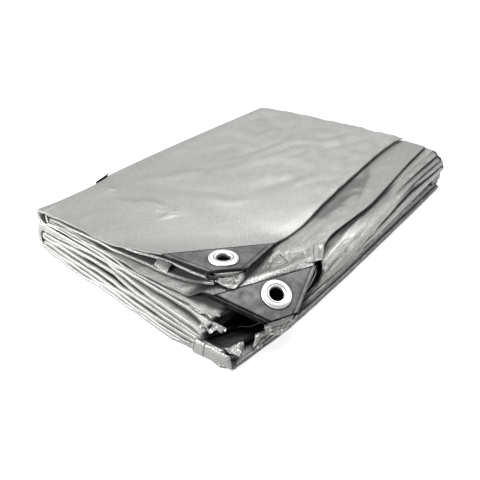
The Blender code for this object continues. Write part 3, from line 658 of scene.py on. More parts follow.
def layer_place(layer, share, y):
    """Give the x at a share of the way along a layer."""
    left, right = layer_end(layer, "left", y), layer_end(layer, "right", y)
    if layer not in FLAP_LAYERS:
        return left + share * (right - left)
    knee = min(knee_of(layer, y), left + KNEE_MOST * (right - left))
    if share <= FLAP_KNEE:
        return left + share / FLAP_KNEE * (knee - left)
    return knee + (share - FLAP_KNEE) / (1.0 - FLAP_KNEE) * (right - knee)


def layer_line(layer, station, rightwards):
    """Give a layer's points at one station, from its left end to its right end or back."""
    points = []
    for share in LAYER_STEPS.get(layer, PLAIN_STEPS):
        front = front_of(layer, share)
        y = front + station * (back_of(layer, share) - front)
        x = layer_place(layer, share, y)
        points.append((x, y, layer_height(layer, x, y)))
    return points if rightwards else points[::-1]


def fold_point(fold, angle, y, outwards):
    """Give the point at an angle round a fold, measured from its first layer."""
    side, first, second, _, rows = fold
    sign = 1.0 if side == "right" else -1.0
    centre = read_rows(y, rows, 1)
    heights = [layer_height(layer, centre, y) for layer in (first, second)]
    share = (1.0 - math.cos(angle)) / 2.0
    point = BOXY_FOLDS.get((first, second), 1.0)
    if (first, second) == BIG_FOLD:
        point = read_rows(y, FOLD_POINT, 1)
    bulge = math.sin(angle) ** point
    x = centre + sign * (read_rows(y, rows, 2) + outwards) * bulge
    away = outwards * math.cos(angle) * (1.0 if heights[0] > heights[1] else -1.0)
    return (x, y, heights[0] + share * (heights[1] - heights[0]) + away)


def fold_line(fold, station):
    """Give the points strictly inside a fold at one station."""
    side, first, second, steps, _ = fold
    end_share = 1.0 if side == "right" else 0.0
    fronts = [front_of(layer, end_share) for layer in (first, second)]
    backs = [back_of(layer, end_share) for layer in (first, second)]
    points = []
    for i in range(1, steps):
        angle = math.pi * i / steps
        share = (1.0 - math.cos(angle)) / 2.0
        from_low = share if fronts[0] <= fronts[1] else 1.0 - share
        front = min(fronts) + (max(fronts) - min(fronts)) * (1.0 - (1.0 - from_low) ** FRONT_LEAN)
        back = backs[0] + share * (backs[1] - backs[0])
        points.append(fold_point(fold, angle, front + station * (back - front), 0.0))
    return points


def layer_half(layer):
    """Give half the thickness of a layer."""
    return (FLAP if layer in FLAP_LAYERS else SHEET) / 2


def sheet_rows():
    """Give the layer or fold of each stretch of the sheet's line, and its half thicknesses."""
    tags = [TOP_LAYER] * len(TOP_STEPS)
    halves = [layer_half(TOP_LAYER)] * len(tags)
    for number, fold in enumerate(FOLDS):
        bend = fold[3] - 1
        straight = len(LAYER_STEPS.get(fold[2], PLAIN_STEPS))
        first, second = layer_half(fold[1]), layer_half(fold[2])
        tags[-1] = -number - 1
        tags += [-number - 1] * bend + [fold[2]] * straight
        halves += [first + (second - first) * (i + 1) / (bend + 1) for i in range(bend)]
        halves += [second] * straight
    return tags, halves


def sheet_line(station):
    """Give the sheet's middle line at one station, from free edge to free edge."""
    points = layer_line(TOP_LAYER, station, False)
    for fold in FOLDS:
        points += fold_line(fold, station) + layer_line(fold[2], station, fold[0] == "left")
    return points


def refine(points, counts):
    """Put more points between neighbours along the first axis, on smooth curves through them."""
    spans = np.linalg.norm(np.diff(points, axis=0), axis=-1)
    spans = spans.reshape(len(spans), -1).mean(axis=1)
    knots = np.concatenate(([0.0], np.cumsum(spans)))
    index = np.arange(len(points))
    low, high = np.maximum(index - 1, 0), np.minimum(index + 1, len(points) - 1)
    gaps = (knots[high] - knots[low]).reshape([-1] + [1] * (points.ndim - 1))
    slopes = (points[high] - points[low]) / gaps
    rows = []
    for i, count in enumerate(counts):
        rows += [cubic(k / count, spans[i], *points[i:i + 2], *slopes[i:i + 2]) for k in range(count)]
    return np.stack(rows + [points[-1]])


def ramp(values, start, width):
    """Give 0 at the start and 1 from a width further on; a negative width runs the other way."""
    return np.clip((values - start) / width, 0.0, 1.0)


def crease_field(x, y, creases):
    """Give the height that soft troughs and ridges add at places x, y."""
    height = np.zeros_like(x)
    for rise, half_width, points in creases:
        lengths = [math.dist(a, b) for a, b in zip(points, points[1:])]
        total = sum(lengths)
        nearest = np.full_like(x, 1e9)
        along = np.zeros_like(x)
        done = 0.0
        for (ax, ay), (bx, by), length in zip(points, points[1:], lengths):
            u = np.clip(((x - ax) * (bx - ax) + (y - ay) * (by - ay)) / length ** 2, 0.0, 1.0)
            distance = np.hypot(x - ax - u * (bx - ax), y - ay - u * (by - ay))
            closer = distance < nearest
            nearest = np.where(closer, distance, nearest)
            along = np.where(closer, (done + u * length) / total, along)
            done += length
        fade = np.sin(np.pi * np.clip(along, CREASE_END, 1.0 - CREASE_END)) ** CREASE_FADE
        height += rise * fade * np.exp(-(nearest / half_width) ** 2)
    return height


def lattice_noise(u, v, seed):
    """Give smooth noise from -1 to 1 at places u, v."""
    values = np.random.default_rng(seed).uniform(-1.0, 1.0, (LATTICE, LATTICE))
    i, j = np.floor(u).astype(int), np.floor(v).astype(int)
    s, t = u - i, v - j
    s, t = s * s * (3.0 - 2.0 * s), t * t * (3.0 - 2.0 * t)
    i, j = i % LATTICE, j % LATTICE
    k, m = (i + 1) % LATTICE, (j + 1) % LATTICE
    return ((1.0 - s) * ((1.0 - t) * values[i, j] + t * values[i, m])
            + s * ((1.0 - t) * values[k, j] + t * values[k, m]))


def crumple(u, v, seed):
    """Give sharp creases between soft hollows, from -1 to 1."""
    first = 1.0 - 2.0 * np.abs(lattice_noise(u, v, seed))
    u, v = DETAIL * u + DETAIL_SHIFT[0], DETAIL * v + DETAIL_SHIFT[1]
    second = 1.0 - 2.0 * np.abs(lattice_noise(u, v, seed + 1))
    return (1.0 - DETAIL_SHARE) * first + DETAIL_SHARE * second


def to_row(points):
    """Change table points in millimetres to points of the part in metres."""
    return (np.asarray(points, dtype=float) - (CENTRE_X, CENTRE_Y, 0.0)) * MM


def add_object(name, data):
    """Put a new object in the scene."""
    thing = bpy.data.objects.new(name, data)
    bpy.context.scene.collection.objects.link(thing)
    return thing


def add_piece(name, vertices, faces, material):
    """Make a mesh piece that rides on the part."""
    mesh = bpy.data.meshes.new(name)
    mesh.from_pydata([tuple(v) for v in vertices], [], [tuple(f) for f in faces])
    mesh.update()
    piece = add_object(name, mesh)
    mesh.materials.append(material)
    mesh.shade_smooth()
    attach(piece, BODY)
    return piece


def grid_faces(rows, columns):
    """Give the faces of a grid of points with a number of cells each way."""
    width = columns + 1
    return [(i * width + k, i * width + k + 1, (i + 1) * width + k + 1, (i + 1) * width + k)
            for i in range(rows) for k in range(columns)]


def add_wall(piece, thickness, even=False):
    """Give a thin piece a wall, half to each side."""
    wall = piece.modifiers.new("wall", "SOLIDIFY")
    wall.thickness = thickness * MM
    wall.offset = 0.0
    wall.use_even_offset = even


def close_normals(piece):
    """Point the faces of a closed piece outwards."""
    shape = bmesh.new()
    shape.from_mesh(piece.data)
    bmesh.ops.recalc_face_normals(shape, faces=shape.faces)
    shape.to_mesh(piece.data)
    shape.free()


def cut_hole(piece, patch, half):
    """Cut the hole of a sleeve's eyelet through a piece."""
    shape = bmesh.new()
    middle = eyelet_frame(patch)
    turn = Vector((0.0, 0.0, 1.0)).rotation_difference(middle.col[2].to_3d()).to_matrix().to_4x4()
    bmesh.ops.create_cone(shape, cap_ends=True, segments=HOLE_STEPS, radius1=EYELET_HOLE * MM,
                          radius2=EYELET_HOLE * MM, depth=2 * half * MM,
                          matrix=Matrix.Translation(middle.translation) @ turn)
    mesh = bpy.data.meshes.new("hole cutter")
    shape.to_mesh(mesh)
    shape.free()
    cutter = add_object("hole cutter", mesh)
    boolean = piece.modifiers.new("hole", "BOOLEAN")
    boolean.operation = "DIFFERENCE"
    boolean.object = cutter
    evaluated = piece.evaluated_get(bpy.context.evaluated_depsgraph_get())
    cut = bpy.data.meshes.new_from_object(evaluated)
    piece.modifiers.clear()
    piece.data = cut
    bpy.data.objects.remove(cutter)


def link(tree, source, node, entry):
    """Join an output, given as a pair of node and socket, to an input of a node."""
    tree.links.new(source[0].outputs[source[1]], node.inputs[entry])


def add_node(tree, kind, output, entries):
    """Add a node, each entry a value or a pair of node and socket, and give its output as a pair."""
    node = tree.nodes.new(kind)
    for entry, value in entries.items():
        if isinstance(value, tuple) and len(value) == 2:
            link(tree, value, node, entry)
        elif value is not None:
            node.inputs[entry].default_value = value
    return (node, output)


def math_node(tree, operation, first, second=None):
    """Add a math node."""
    output = add_node(tree, "ShaderNodeMath", 0, {0: first, 1: second})
    output[0].operation = operation
    return output


def noise_node(tree, vector, scale, detail, roughness):
    """Add a noise texture read at a vector."""
    entries = {"Scale": scale, "Detail": detail, "Roughness": roughness, "Vector": vector}
    return add_node(tree, "ShaderNodeTexNoise", "Fac", entries)


def bump_node(tree, height, distance, strength, normal=None):
    """Add a bump node, on top of another if there is one."""
    entries = {"Height": height, "Distance": distance, "Strength": strength, "Normal": normal}
    return add_node(tree, "ShaderNodeBump", "Normal", entries)


def range_node(tree, value, low, high, out_low, out_high):
    """Add a map range node."""
    entries = {"Value": value, "From Min": low, "From Max": high, "To Min": out_low, "To Max": out_high}
    return add_node(tree, "ShaderNodeMapRange", "Result", entries)


def mapped(tree, source, scale):
    """Stretch a vector."""
    return add_node(tree, "ShaderNodeMapping", "Vector", {"Scale": scale, "Vector": source})


def attribute_node(tree, name):
    """Read one of the numbers stored on a piece's points."""
    node = tree.nodes.new("ShaderNodeAttribute")
    node.attribute_name = name
    return (node, "Fac")


def paint(tree, shader, shade, tints=(1.0, 1.0, 1.0)):
    """Use a shade as the base colour, with a tint for each of its three parts."""
    parts = [math_node(tree, "MULTIPLY", shade, tint) for tint in tints]
    entries = dict(zip(("Red", "Green", "Blue"), parts))
    colour = add_node(tree, "ShaderNodeCombineColor", "Color", entries)
    link(tree, colour, shader, "Base Color")


def new_material(name, roughness, metallic):
    """Make a material with a Principled shader."""
    material = bpy.data.materials.new(name)
    material.use_nodes = True
    shader = material.node_tree.nodes["Principled BSDF"]
    shader.inputs["Roughness"].default_value = roughness
    shader.inputs["Metallic"].default_value = metallic
    return material, material.node_tree, shader


def make_woven():
    """Make the silver woven plastic: flat tapes over and under, a thin glossy coat, soft crinkles, and
    painted shade.
    """
    material, tree, shader = new_material("woven silver sheet", 0.36, 0.4)
    flat = add_node(tree, "ShaderNodeUVMap", "UV", {})
    flat[0].uv_map = "weave"
    split, _ = add_node(tree, "ShaderNodeSeparateXYZ", 0, {"Vector": flat})
    tapes, floors = [], []
    for axis in ("X", "Y"):
        place = math_node(tree, "DIVIDE", (split, axis), TAPE)
        wave = math_node(tree, "SINE", math_node(tree, "MULTIPLY", place, math.pi))
        tapes.append(math_node(tree, "POWER", math_node(tree, "ABSOLUTE", wave), TAPE_ROUND))
        floors.append(math_node(tree, "FLOOR", place))
    parity = math_node(tree, "PINGPONG", math_node(tree, "ADD", *floors), 1.0)
    first = math_node(tree, "MULTIPLY", tapes[0], parity)
    second = math_node(tree, "MULTIPLY", tapes[1], math_node(tree, "SUBTRACT", 1.0, parity))
    weave = math_node(tree, "ADD", first, second)
    cells = add_node(tree, "ShaderNodeCombineXYZ", "Vector", {"X": floors[0], "Y": floors[1]})
    white = add_node(tree, "ShaderNodeTexWhiteNoise", "Value", {"Vector": cells})
    cloud = noise_node(tree, flat, CLOUD_SCALE, 3.0, 0.5)
    zone, painted_shade = attribute_node(tree, "crinkle"), attribute_node(tree, "painted_shade")
    shade = range_node(tree, white, *TAPE_TONE)
    for value, tone in ((cloud, CLOUD_TONE), (parity, TAPE_TONE), (zone, CRINKLE_TONE)):
        shade = math_node(tree, "ADD", shade, range_node(tree, value, *tone))
    # Painted shade darkens the colour and takes the specular away
    shade = math_node(tree, "MULTIPLY", shade, range_node(tree, painted_shade, *PAINTED_SHADE_TONE))
    paint(tree, shader, shade, WOVEN_TINTS)
    link(tree, range_node(tree, zone, *CRINKLE_METAL), shader, "Metallic")
    link(tree, range_node(tree, painted_shade, *PAINTED_SHADE_SHINE), shader, "Specular IOR Level")
    specks = noise_node(tree, mapped(tree, flat, SPECK_SCALE), 1.0, 2.0, 0.7)
    specks = math_node(tree, "MULTIPLY", specks, attribute_node(tree, "sparkle"))
    crinkle = noise_node(tree, mapped(tree, flat, CRINKLE_SCALE), 1.0, 3.0, 0.55)
    crinkle = math_node(tree, "MULTIPLY", crinkle, zone)
    normal = None
    for height, bump in zip((crinkle, specks, weave), WOVEN_BUMPS):
        normal = bump_node(tree, height, bump * MM, 1.0, normal)
    link(tree, normal, shader, "Normal")
    return material


def make_plastic(name, tone):
    """Make the dark satin plastic of the sleeves, with soft dents and fine scuffs, darkened and dulled
    by painted shade.
    """
    material, tree, shader = new_material(name, 0.36, 0.0)
    place = add_node(tree, "ShaderNodeTexCoord", "Object", {})
    dents = noise_node(tree, mapped(tree, place, DENT_SCALE), 1.0, 2.0, 0.5)
    scuffs = noise_node(tree, mapped(tree, place, SCUFF_SCALE), 1.0, 4.0, 0.6)
    blotches = noise_node(tree, mapped(tree, place, BLOTCH_SCALE), 1.0, 3.0, 0.6)
    painted_shade = attribute_node(tree, "painted_shade")
    shade = range_node(tree, scuffs, 0.35, 0.75, 0.06 * tone, 0.09 * tone)
    blotch = range_node(tree, blotches, 0.42, 0.68, -0.012 * tone, 0.06 * tone)
    shade = math_node(tree, "ADD", shade, blotch)
    shade = math_node(tree, "MULTIPLY", shade, range_node(tree, painted_shade, 0.0, 1.0, 1.0, 0.1))
    paint(tree, shader, shade)
    link(tree, range_node(tree, painted_shade, 0.0, 0.8, 0.5 * tone, 0.0), shader, "Specular IOR Level")
    normal = bump_node(tree, dents, DENT_BUMP * MM, 0.5)
    normal = bump_node(tree, scuffs, SCUFF_BUMP * MM, 0.5, normal)
    link(tree, normal, shader, "Normal")
    return material


def make_metal():
    """Make the pressed bright metal of the eyelets, darkened where painted shade lies."""
    material, tree, shader = new_material("pressed bright metal", 0.42, 0.7)
    paint(tree, shader, range_node(tree, attribute_node(tree, "painted_shade"), 0.0, 1.0, 0.84, 0.03))
    place = add_node(tree, "ShaderNodeTexCoord", "Object", {})
    grain = noise_node(tree, mapped(tree, place, GRAIN_SCALE), 1.0, 3.0, 0.6)
    link(tree, bump_node(tree, grain, GRAIN_BUMP * MM, 0.6), shader, "Normal")
    return material


def fine_sheet():
    """Give the fine grid of the sheet's middle, with the layer tag and half thickness of each line."""
    tags, halves = sheet_rows()
    coarse = np.array([sheet_line(station) for station in STATIONS])
    lengths = np.linalg.norm(np.diff(coarse, axis=1), axis=-1).mean(axis=0)
    places = coarse[PLACE_STATION, :, 0]
    counts = []
    for tag, length, near, far in zip(tags, lengths, places, places[1:]):
        step = FOLD_STEP if tag < 0 else FINE_STEP.get(tag, PLAIN_STEP)
        if tag == BIG_FOLD_TAG:
            step = BIG_FOLD_STEP
        elif tag in TURNED_LAYERS and END_SPAN[0] < (near + far) / 2.0 < END_SPAN[1]:
            step = END_STEP
        counts.append(max(1, math.ceil(length / step)))
    fine = refine(coarse.swapaxes(0, 1), counts)
    fine_tags = np.array(np.repeat(tags[:-1], counts).tolist() + [tags[-1]])
    ends = np.concatenate(([0], np.cumsum(counts)))
    fine_halves = np.interp(np.arange(len(fine)), ends, halves)
    reach = np.linalg.norm(np.diff(fine, axis=1), axis=-1).mean(axis=0)
    rows = [max(1, math.ceil(length / STATION_STEP)) for length in reach]
    return refine(fine.swapaxes(0, 1), rows), fine_tags, fine_halves


def line_lengths(grid):
    """Give how far along the sheet's line each point lies, at the middle station."""
    lengths = np.linalg.norm(np.diff(grid, axis=1), axis=-1)[len(grid) // 2]
    return np.concatenate(([0.0], np.cumsum(lengths)))


def dress_flaps(grid, tags):
    """Lay creases, dimples and crumples on the two top flaps; give painted shade for the troughs of the
    second one.
    """
    x, y = grid[..., 0], grid[..., 1]
    top = (tags == TOP_LAYER).astype(float)
    dents = sum(DIMPLE_RISE * (1.0 if i % 2 else -1.0)
                * np.exp(-((x - dx) ** 2 + (y - dy) ** 2) / DIMPLE_RADIUS ** 2)
                for i, (dx, dy) in enumerate(DIMPLES))
    grid[..., 2] += top * (crease_field(x, y, TOP_CREASES) * TOP_CREASE_SHARE + dents)
    clear = ramp(np.hypot(x - SLEEVE_MIDDLE[0], y - SLEEVE_MIDDLE[1]), 58.0, 12.0)
    second = clear * (tags == SECOND_FLAP)
    bends = crease_field(x, y, SECOND_CREASES)
    crinkled = ramp(sleeve_distance(PATCHES[1], x, y), 71.0, 8.0) * (tags == SECOND_FLAP)
    crinkled = BEND_CRUMPLE * crinkled * ramp(y, 150.0, -40.0) * ramp(x, 205.0, 10.0)
    grid[..., 2] += crinkled * crumple((x + 0.4 * y) / 8.0, (y - 0.4 * x) / 11.0, SEEDS["bend"])
    fine = SECOND_CRUMPLE * crumple(x / 9.0, y / 12.0, SEEDS["second"])
    grid[..., 2] += second * (bends + fine)
    fine = TOP_CRUMPLE * crumple(x / 17.0 + y / 60.0, y / 26.0, SEEDS["top"])
    grid[..., 2] += top * fine * ramp(y, 110.0, 90.0)
    return 0.55 * second * ramp(-bends, 0.15, 0.9)


def dress_roll(grid, tags):
    """Lay the long folds of the roll and the crumples of the lower folds; give painted shade for the
    roll's troughs.
    """
    x, y = grid[..., 0], grid[..., 1]
    across = sheet_normals(grid)
    along = line_lengths(grid)
    roll = (tags == BIG_FOLD_TAG) | (tags == BIG_FOLD[1])
    turn = np.broadcast_to(along - along[np.argmax(tags == BIG_FOLD_TAG)], x.shape)
    creases = crease_field(turn, y, ROLL_CREASES)
    fine = ROLL_CRUMPLE * crumple(turn / 6.0, y / 21.0, SEEDS["roll"])
    rise = roll * (creases + ramp(x, 205.0, 12.0) * fine)
    lower = (tags < 0) & (x > 225.0) & ~roll
    fine = crumple(np.broadcast_to(along, x.shape) / 5.0, y / 17.0, SEEDS["lower"])
    rise = rise + lower * LOWER_CRUMPLE * fine
    grid -= across * rise[..., None]
    return roll * ramp(-creases, 0.25, 0.9)


def wave_fronts(grid, tags):
    """Bend the front edges of the layers a little, each one in its own way."""
    x, y = grid[..., 0], grid[..., 1]
    near = np.exp(-(y - grid[0, :, 1]) / WAVE_REACH)
    shift = tags * WAVE_SHIFT
    wave = 0.45 * np.sin(x / 9.0 + shift) + 0.3 * np.sin(x / 4.3 + 1.7 + 1.9 * shift)
    grid[..., 1] += near * wave
    between = (tags > 0) * (tags < BOTTOM_LAYER)
    grid[..., 2] += near * between * WAVE_HEIGHT * np.sin(x / 6.1 + shift)


def sheet_normals(grid):
    """Give the direction across the sheet in its X-Z sections."""
    runs = np.diff(grid, axis=1)
    each = np.stack((-runs[..., 2], np.zeros(runs.shape[:2]), runs[..., 0]), axis=-1)
    each /= np.linalg.norm(each, axis=-1, keepdims=True)
    first = np.concatenate((each[:, :1], each), axis=1)
    second = np.concatenate((each, each[:, -1:]), axis=1)
    middle = first + second
    middle /= np.linalg.norm(middle, axis=-1, keepdims=True)
    return middle / np.maximum((middle * first).sum(axis=-1, keepdims=True), BEND_LIMIT)


def round_ends(grid):
    """Add rows near the front and back edges, and give each row's share of the thickness."""
    rows, shares = [], []
    for near, far, flip in ((grid[0], grid[1], 1), (grid[-1], grid[-2], -1)):
        away = far - near
        away /= np.linalg.norm(away, axis=-1, keepdims=True)
        rows.append([near + away * distance for distance, _ in EDGE_ROUND][::flip])
        shares.append([share for _, share in EDGE_ROUND][::flip])
    middle = list(grid[1:-1])
    return np.array(rows[0] + middle + rows[1]), np.array(shares[0] + [1.0] * len(middle) + shares[1])


def half_steps(grid, tags, halves):
    """Give the steps from the middle of the sheet to its upper side, thicker at the front edges."""
    swell = np.array([EDGE_SWELL.get(int(tag), 1.0) for tag in tags])
    blur = np.full(SWELL_BLUR, 1.0 / SWELL_BLUR)
    swell = np.convolve(np.pad(swell, SWELL_BLUR // 2, mode="edge"), blur, mode="valid")
    left = LEFT_SWELL * (tags >= FIRST_LOWER_LAYER) * ramp(grid[..., 0], 60.0, -40.0)
    near = np.exp(-((grid[..., 1] - grid[0, :, 1]) / SWELL_REACH) ** 2)
    return sheet_normals(grid) * (halves * (1.0 + (swell - 1.0 + left) * near))[..., None]


def sheet_faces(stations, count):
    """Give the faces round the sheet: its two sides, its grooved edges and its two free ends."""
    size = stations * count
    upper, lower = [[side * size + row * count + np.arange(count) for row in range(stations)]
                    for side in (0, 1)]
    rims = [2 * size + k * count + np.arange(count) for k in range(RIM_LINES)]
    loop = upper + rims[3:] + lower[::-1] + rims[2::-1]
    faces = []
    for near, far in zip(loop, loop[1:] + loop[:1]):
        faces += np.stack((near[:-1], near[1:], far[1:], far[:-1]), axis=-1).tolist()
    for end in (0, count - 1):
        uppers, lowers = [line[end] for line in upper], [line[end] for line in lower]
        strips = [(a, b, d, c) for a, b, c, d in zip(uppers, uppers[1:], lowers, lowers[1:])]
        edge = [rim[end] for rim in rims]
        strips += [(uppers[0], lowers[0], edge[2], edge[1], edge[0]),
                   (uppers[-1], edge[3], edge[4], edge[5], lowers[-1])]
        faces += strips if end == 0 else [face[::-1] for face in strips]
    return faces


def make_sheet(material):
    """Make the whole folded sheet as one closed mesh."""
    grid, tags, halves = fine_sheet()
    trough_painted_shade = dress_flaps(grid, tags)
    trough_painted_shade = np.maximum(dress_roll(grid, tags), trough_painted_shade)
    wave_fronts(grid, tags)
    grid, shares = round_ends(grid)
    extra = len(EDGE_ROUND) - 1
    trough_painted_shade = np.concatenate((trough_painted_shade[:1].repeat(extra, axis=0), trough_painted_shade, trough_painted_shade[-1:].repeat(extra, axis=0)))
    across = half_steps(grid, tags, halves)
    step = across * shares[:, None, None]
    along = line_lengths(grid)
    sides = [grid + step, grid - step]
    for side in sides:
        side[..., 2] = np.maximum(side[..., 2], LEAST_HEIGHT)
    rim_rows, rim_uv = [], []
    for row, sign in ((0, 1.0), (-1, -1.0)):
        for share, dip in ((GROOVE_LIP, -GROOVE_BULGE), (0.0, GROOVE_DEPTH),
                           (-GROOVE_LIP, -GROOVE_BULGE)):
            rim_rows.append(grid[row] + across[row] * share + np.array((0.0, sign * dip, 0.0)))
            rim_uv.append(np.stack((along, grid[row, :, 1]), axis=-1))
    vertices = np.concatenate([side.reshape(-1, 3) for side in sides] + rim_rows)
    faces = sheet_faces(*grid.shape[:2])
    piece = add_piece("tarp_sheet", to_row(vertices), faces, material)
    flat_uv = np.stack(np.broadcast_arrays(along[None, :], grid[..., 1]), axis=-1).reshape(-1, 2)
    store_weave(piece, np.concatenate([flat_uv, flat_uv] + rim_uv))
    # Painted shade of the zones and the troughs, also on the grooved rims of the front and back edges
    dark = np.maximum(painted_shade_zone(grid, tags), trough_painted_shade)
    front = np.where(tags == BIG_FOLD_TAG, ROLL_RIM_PAINTED_SHADE, dark[0])
    plain = np.zeros(RIM_LINES * len(tags))
    dark_rims = np.concatenate([front] * 3 + [dark[-1]] * 3)
    for name, zone, rims in (("crinkle", crinkle_zone(grid, tags), plain),
                             ("sparkle", sparkle_zone(grid, tags), plain), ("painted_shade", dark, dark_rims)):
        store_zone(piece, name, np.concatenate((zone.reshape(-1), zone.reshape(-1), rims)))
    close_normals(piece)
    return piece


def crinkle_zone(grid, tags):
    """Give how crinkled the cloth is: little on the flat top, more beside the folds on the right."""
    x, y = grid[..., 0], grid[..., 1]
    second = 0.75 - 0.4 * ramp(y, 90.0, 60.0)
    rest = np.maximum(0.6 * ramp(y, 30.0, -15.0), 0.25 + 0.75 * ramp(x, 200.0, 25.0))
    rest = np.where(tags == SECOND_FLAP, second, rest)
    return np.where(tags == TOP_LAYER, TOP_CRINKLE, rest)


def sparkle_zone(grid, tags):
    """Give where fine wrinkles catch the light."""
    x, y = grid[..., 0], grid[..., 1]
    zone = np.zeros_like(x)
    for tag, share, reach, points in SPARKLES:
        bright = crease_field(x, y, ((share, reach, points),))
        zone = np.maximum(zone, bright * (tags == tag))
    return zone


def gap_painted_shade(x, y, inwards, tags):
    """Give the painted shade in the gaps between the layers and at their ends, at the front."""
    ledge = ((tags >= 10) & (tags <= 12)) | ((tags == FIRST_LOWER_LAYER) & (x > 105.0))
    start = np.where(ledge, 1.85, 0.9)
    between = np.where(ledge, 1.0, 0.75) * ramp(inwards, start, 0.9) * (tags > TOP_LAYER)
    reach = np.array([GAP_REACH.get(int(tag), FAR_REACH) for tag in tags])
    between = between * ramp(x, reach, -12.0) * ramp(y, 40.0, -10.0)
    between = between * (0.45 + 0.55 * ramp(x, 25.0, 60.0))
    ends = ENDS_PAINTED_SHADE * ((tags > SECOND_FLAP) | (tags < 0)) * ramp(x, 115.0, 60.0)
    return between, ends * np.clip(2.0 - inwards / 3.0, 0.0, 1.0)


def roll_painted_shade(x, y, z, tags):
    """Give the painted shade of the right side: low down, on the roll, at its back, and the painted
    shadow below the flap.
    """
    patchy = np.clip(0.2 + lattice_noise(x / 3.0 + z / 1.6, y / 6.0, SEEDS["patchy"]), 0.0, 1.0)
    lower = np.isin(tags, LOWER_TAGS) * ramp(x, 222.0, 12.0)
    lower = lower * (0.6 + 0.4 * patchy * ramp(y, 70.0, -20.0))
    rolled = tags == BIG_FOLD_TAG
    ends = (0.22 + 0.22 * ramp(z, 27.0, -4.0)) * rolled
    ends = ends * np.clip(np.abs(y - 175.0) / 60.0 - 0.4, 0.1, 1.0)
    spots = np.clip(1.6 * lattice_noise(z / 2.6, y / 5.0, SEEDS["spots"]), 0.0, 0.95)
    spots = rolled * spots * ramp(y, 331.0, 7.0)
    edge = np.array([read_rows(place, SECOND_FLAP_EDGE, 1) for place in y.reshape(-1)])
    away = np.maximum(0.0, x - edge.reshape(y.shape)) / (1.8 + 4.6 * ramp(y, 250.0, -20.0))
    below = BELOW_FLAP_PAINTED_SHADOW * ((tags == BIG_FOLD[1]) | rolled)
    return lower, ends, spots, below * np.exp(-away ** 2) * ramp(y, 84.0, 12.0)


def flap_painted_shade(x, y, tags):
    """Give the painted shade of the flaps: the second one all over and at its bend, painted shadows
    along the sleeves' edges, and the layers below the first eyelet.
    """
    second = tags == SECOND_FLAP
    plain = second * (0.1 + 0.12 * ramp(y, 100.0, 60.0))
    away = sleeve_distance(PATCHES[1], x, y)
    streaks = lattice_noise(away / 2.4, (x + y) / 30.0, SEEDS["streaks"])
    bend = BEND_PAINTED_SHADE * second * np.exp(-((away - 80.0) / 9.0) ** 2)
    bend = bend * np.clip(0.6 + 0.8 * streaks, 0.0, 1.0) * ramp(x, 244.0, -20.0)
    centre = eyelet_frame(PATCHES[0]).translation / MM + Vector((CENTRE_X, CENTRE_Y, 0.0))
    hole = (tags > TOP_LAYER) * ramp(np.hypot(x - centre.x, y - centre.y), 17.0, -4.0)
    contacts = []
    for layer, patch in zip(FLAP_LAYERS, PATCHES):
        away = (sleeve_distance(patch, x, y) - PATCH_LEG) / CONTACT_WIDTH
        contacts.append(CONTACT_PAINTED_SHADOW * (tags == layer) * np.exp(-away ** 2))
    return (plain, bend, hole, *contacts)


def painted_shade_zone(grid, tags):
    """Give the painted shade of the cloth: in the hollow, between the layers, on the roll and the
    flaps.
    """
    x, y, z = (grid[..., k] for k in range(3))
    places = {"x": x, "y": y, "z": z, "inwards": y - grid[0, :, 1]}
    zones = []
    for share, dark_tags, ramps in PAINTED_SHADE_PLACES:
        zone = share * np.isin(tags, dark_tags)
        for along, start, width in ramps:
            zone = zone * ramp(places[along], start, width)
        zones.append(zone)
    return np.maximum.reduce((*zones, *gap_painted_shade(x, y, places["inwards"], tags),
                              *roll_painted_shade(x, y, z, tags), *flap_painted_shade(x, y, tags)))


def sleeve_distance(patch, x, y):
    """Give patch_distance at many places."""
    start = patch_distance(patch, 0.0, 0.0)
    return (start + x * (patch_distance(patch, 1.0, 0.0) - start)
            + y * (patch_distance(patch, 0.0, 1.0) - start))


def store_zone(piece, name, values):
    """Store one number for each point of a piece."""
    attribute = piece.data.attributes.new(name, "FLOAT", "POINT")
    attribute.data.foreach_set("value", values)


def store_weave(piece, coordinates):
    """Store where each point lies on the flat sheet, in millimetres."""
    layer = piece.data.uv_layers.new(name="weave")
    corners = np.empty(len(piece.data.loops), dtype=int)
    piece.data.loops.foreach_get("vertex_index", corners)
    layer.data.foreach_set("uv", coordinates[corners].reshape(-1))


def patch_frame(patch):
    """Give the sleeve's frame as a matrix in metres."""
    return Matrix.Translation(Vector(to_row(patch["corner"]))) @ patch_matrix(patch).to_4x4()


def eyelet_frame(patch):
    """Give the eyelet's frame as a matrix in metres."""
    a, b = patch["eyelet"]
    return patch_frame(patch) @ Matrix.Translation((-a * MM, b * MM, 0.0))


def fold_share(distance, radius):
    """Give the half thickness share at a distance from a closed edge that is rounded."""
    inside = np.clip(1.0 - distance / radius, 0.0, 1.0)
    return np.sqrt(np.maximum(0.0, 1.0 - inside * inside))


def sleeve_side(inset, half):
    """Give grids of a, b and height of one face of the sleeve, inset from its closed edges."""
    s = np.linspace(PATCH_CUT, PATCH_LEG, SLEEVE_ROWS)[:, None]
    t = (1.0 - np.cos(np.linspace(0.0, math.pi, SLEEVE_COLUMNS)))[None, :] / 2.0
    a = inset + (s - 2 * inset) * (1.0 - t)
    b = inset + (s - 2 * inset) * t
    height = half * fold_share(a - inset, half) * fold_share(b - inset, half)
    for side in (a, b):
        height = height - SEAM_DEPTH * np.exp(-((side - inset - SEAM_PLACE) / SEAM_WIDTH) ** 2)
    return a, b, height


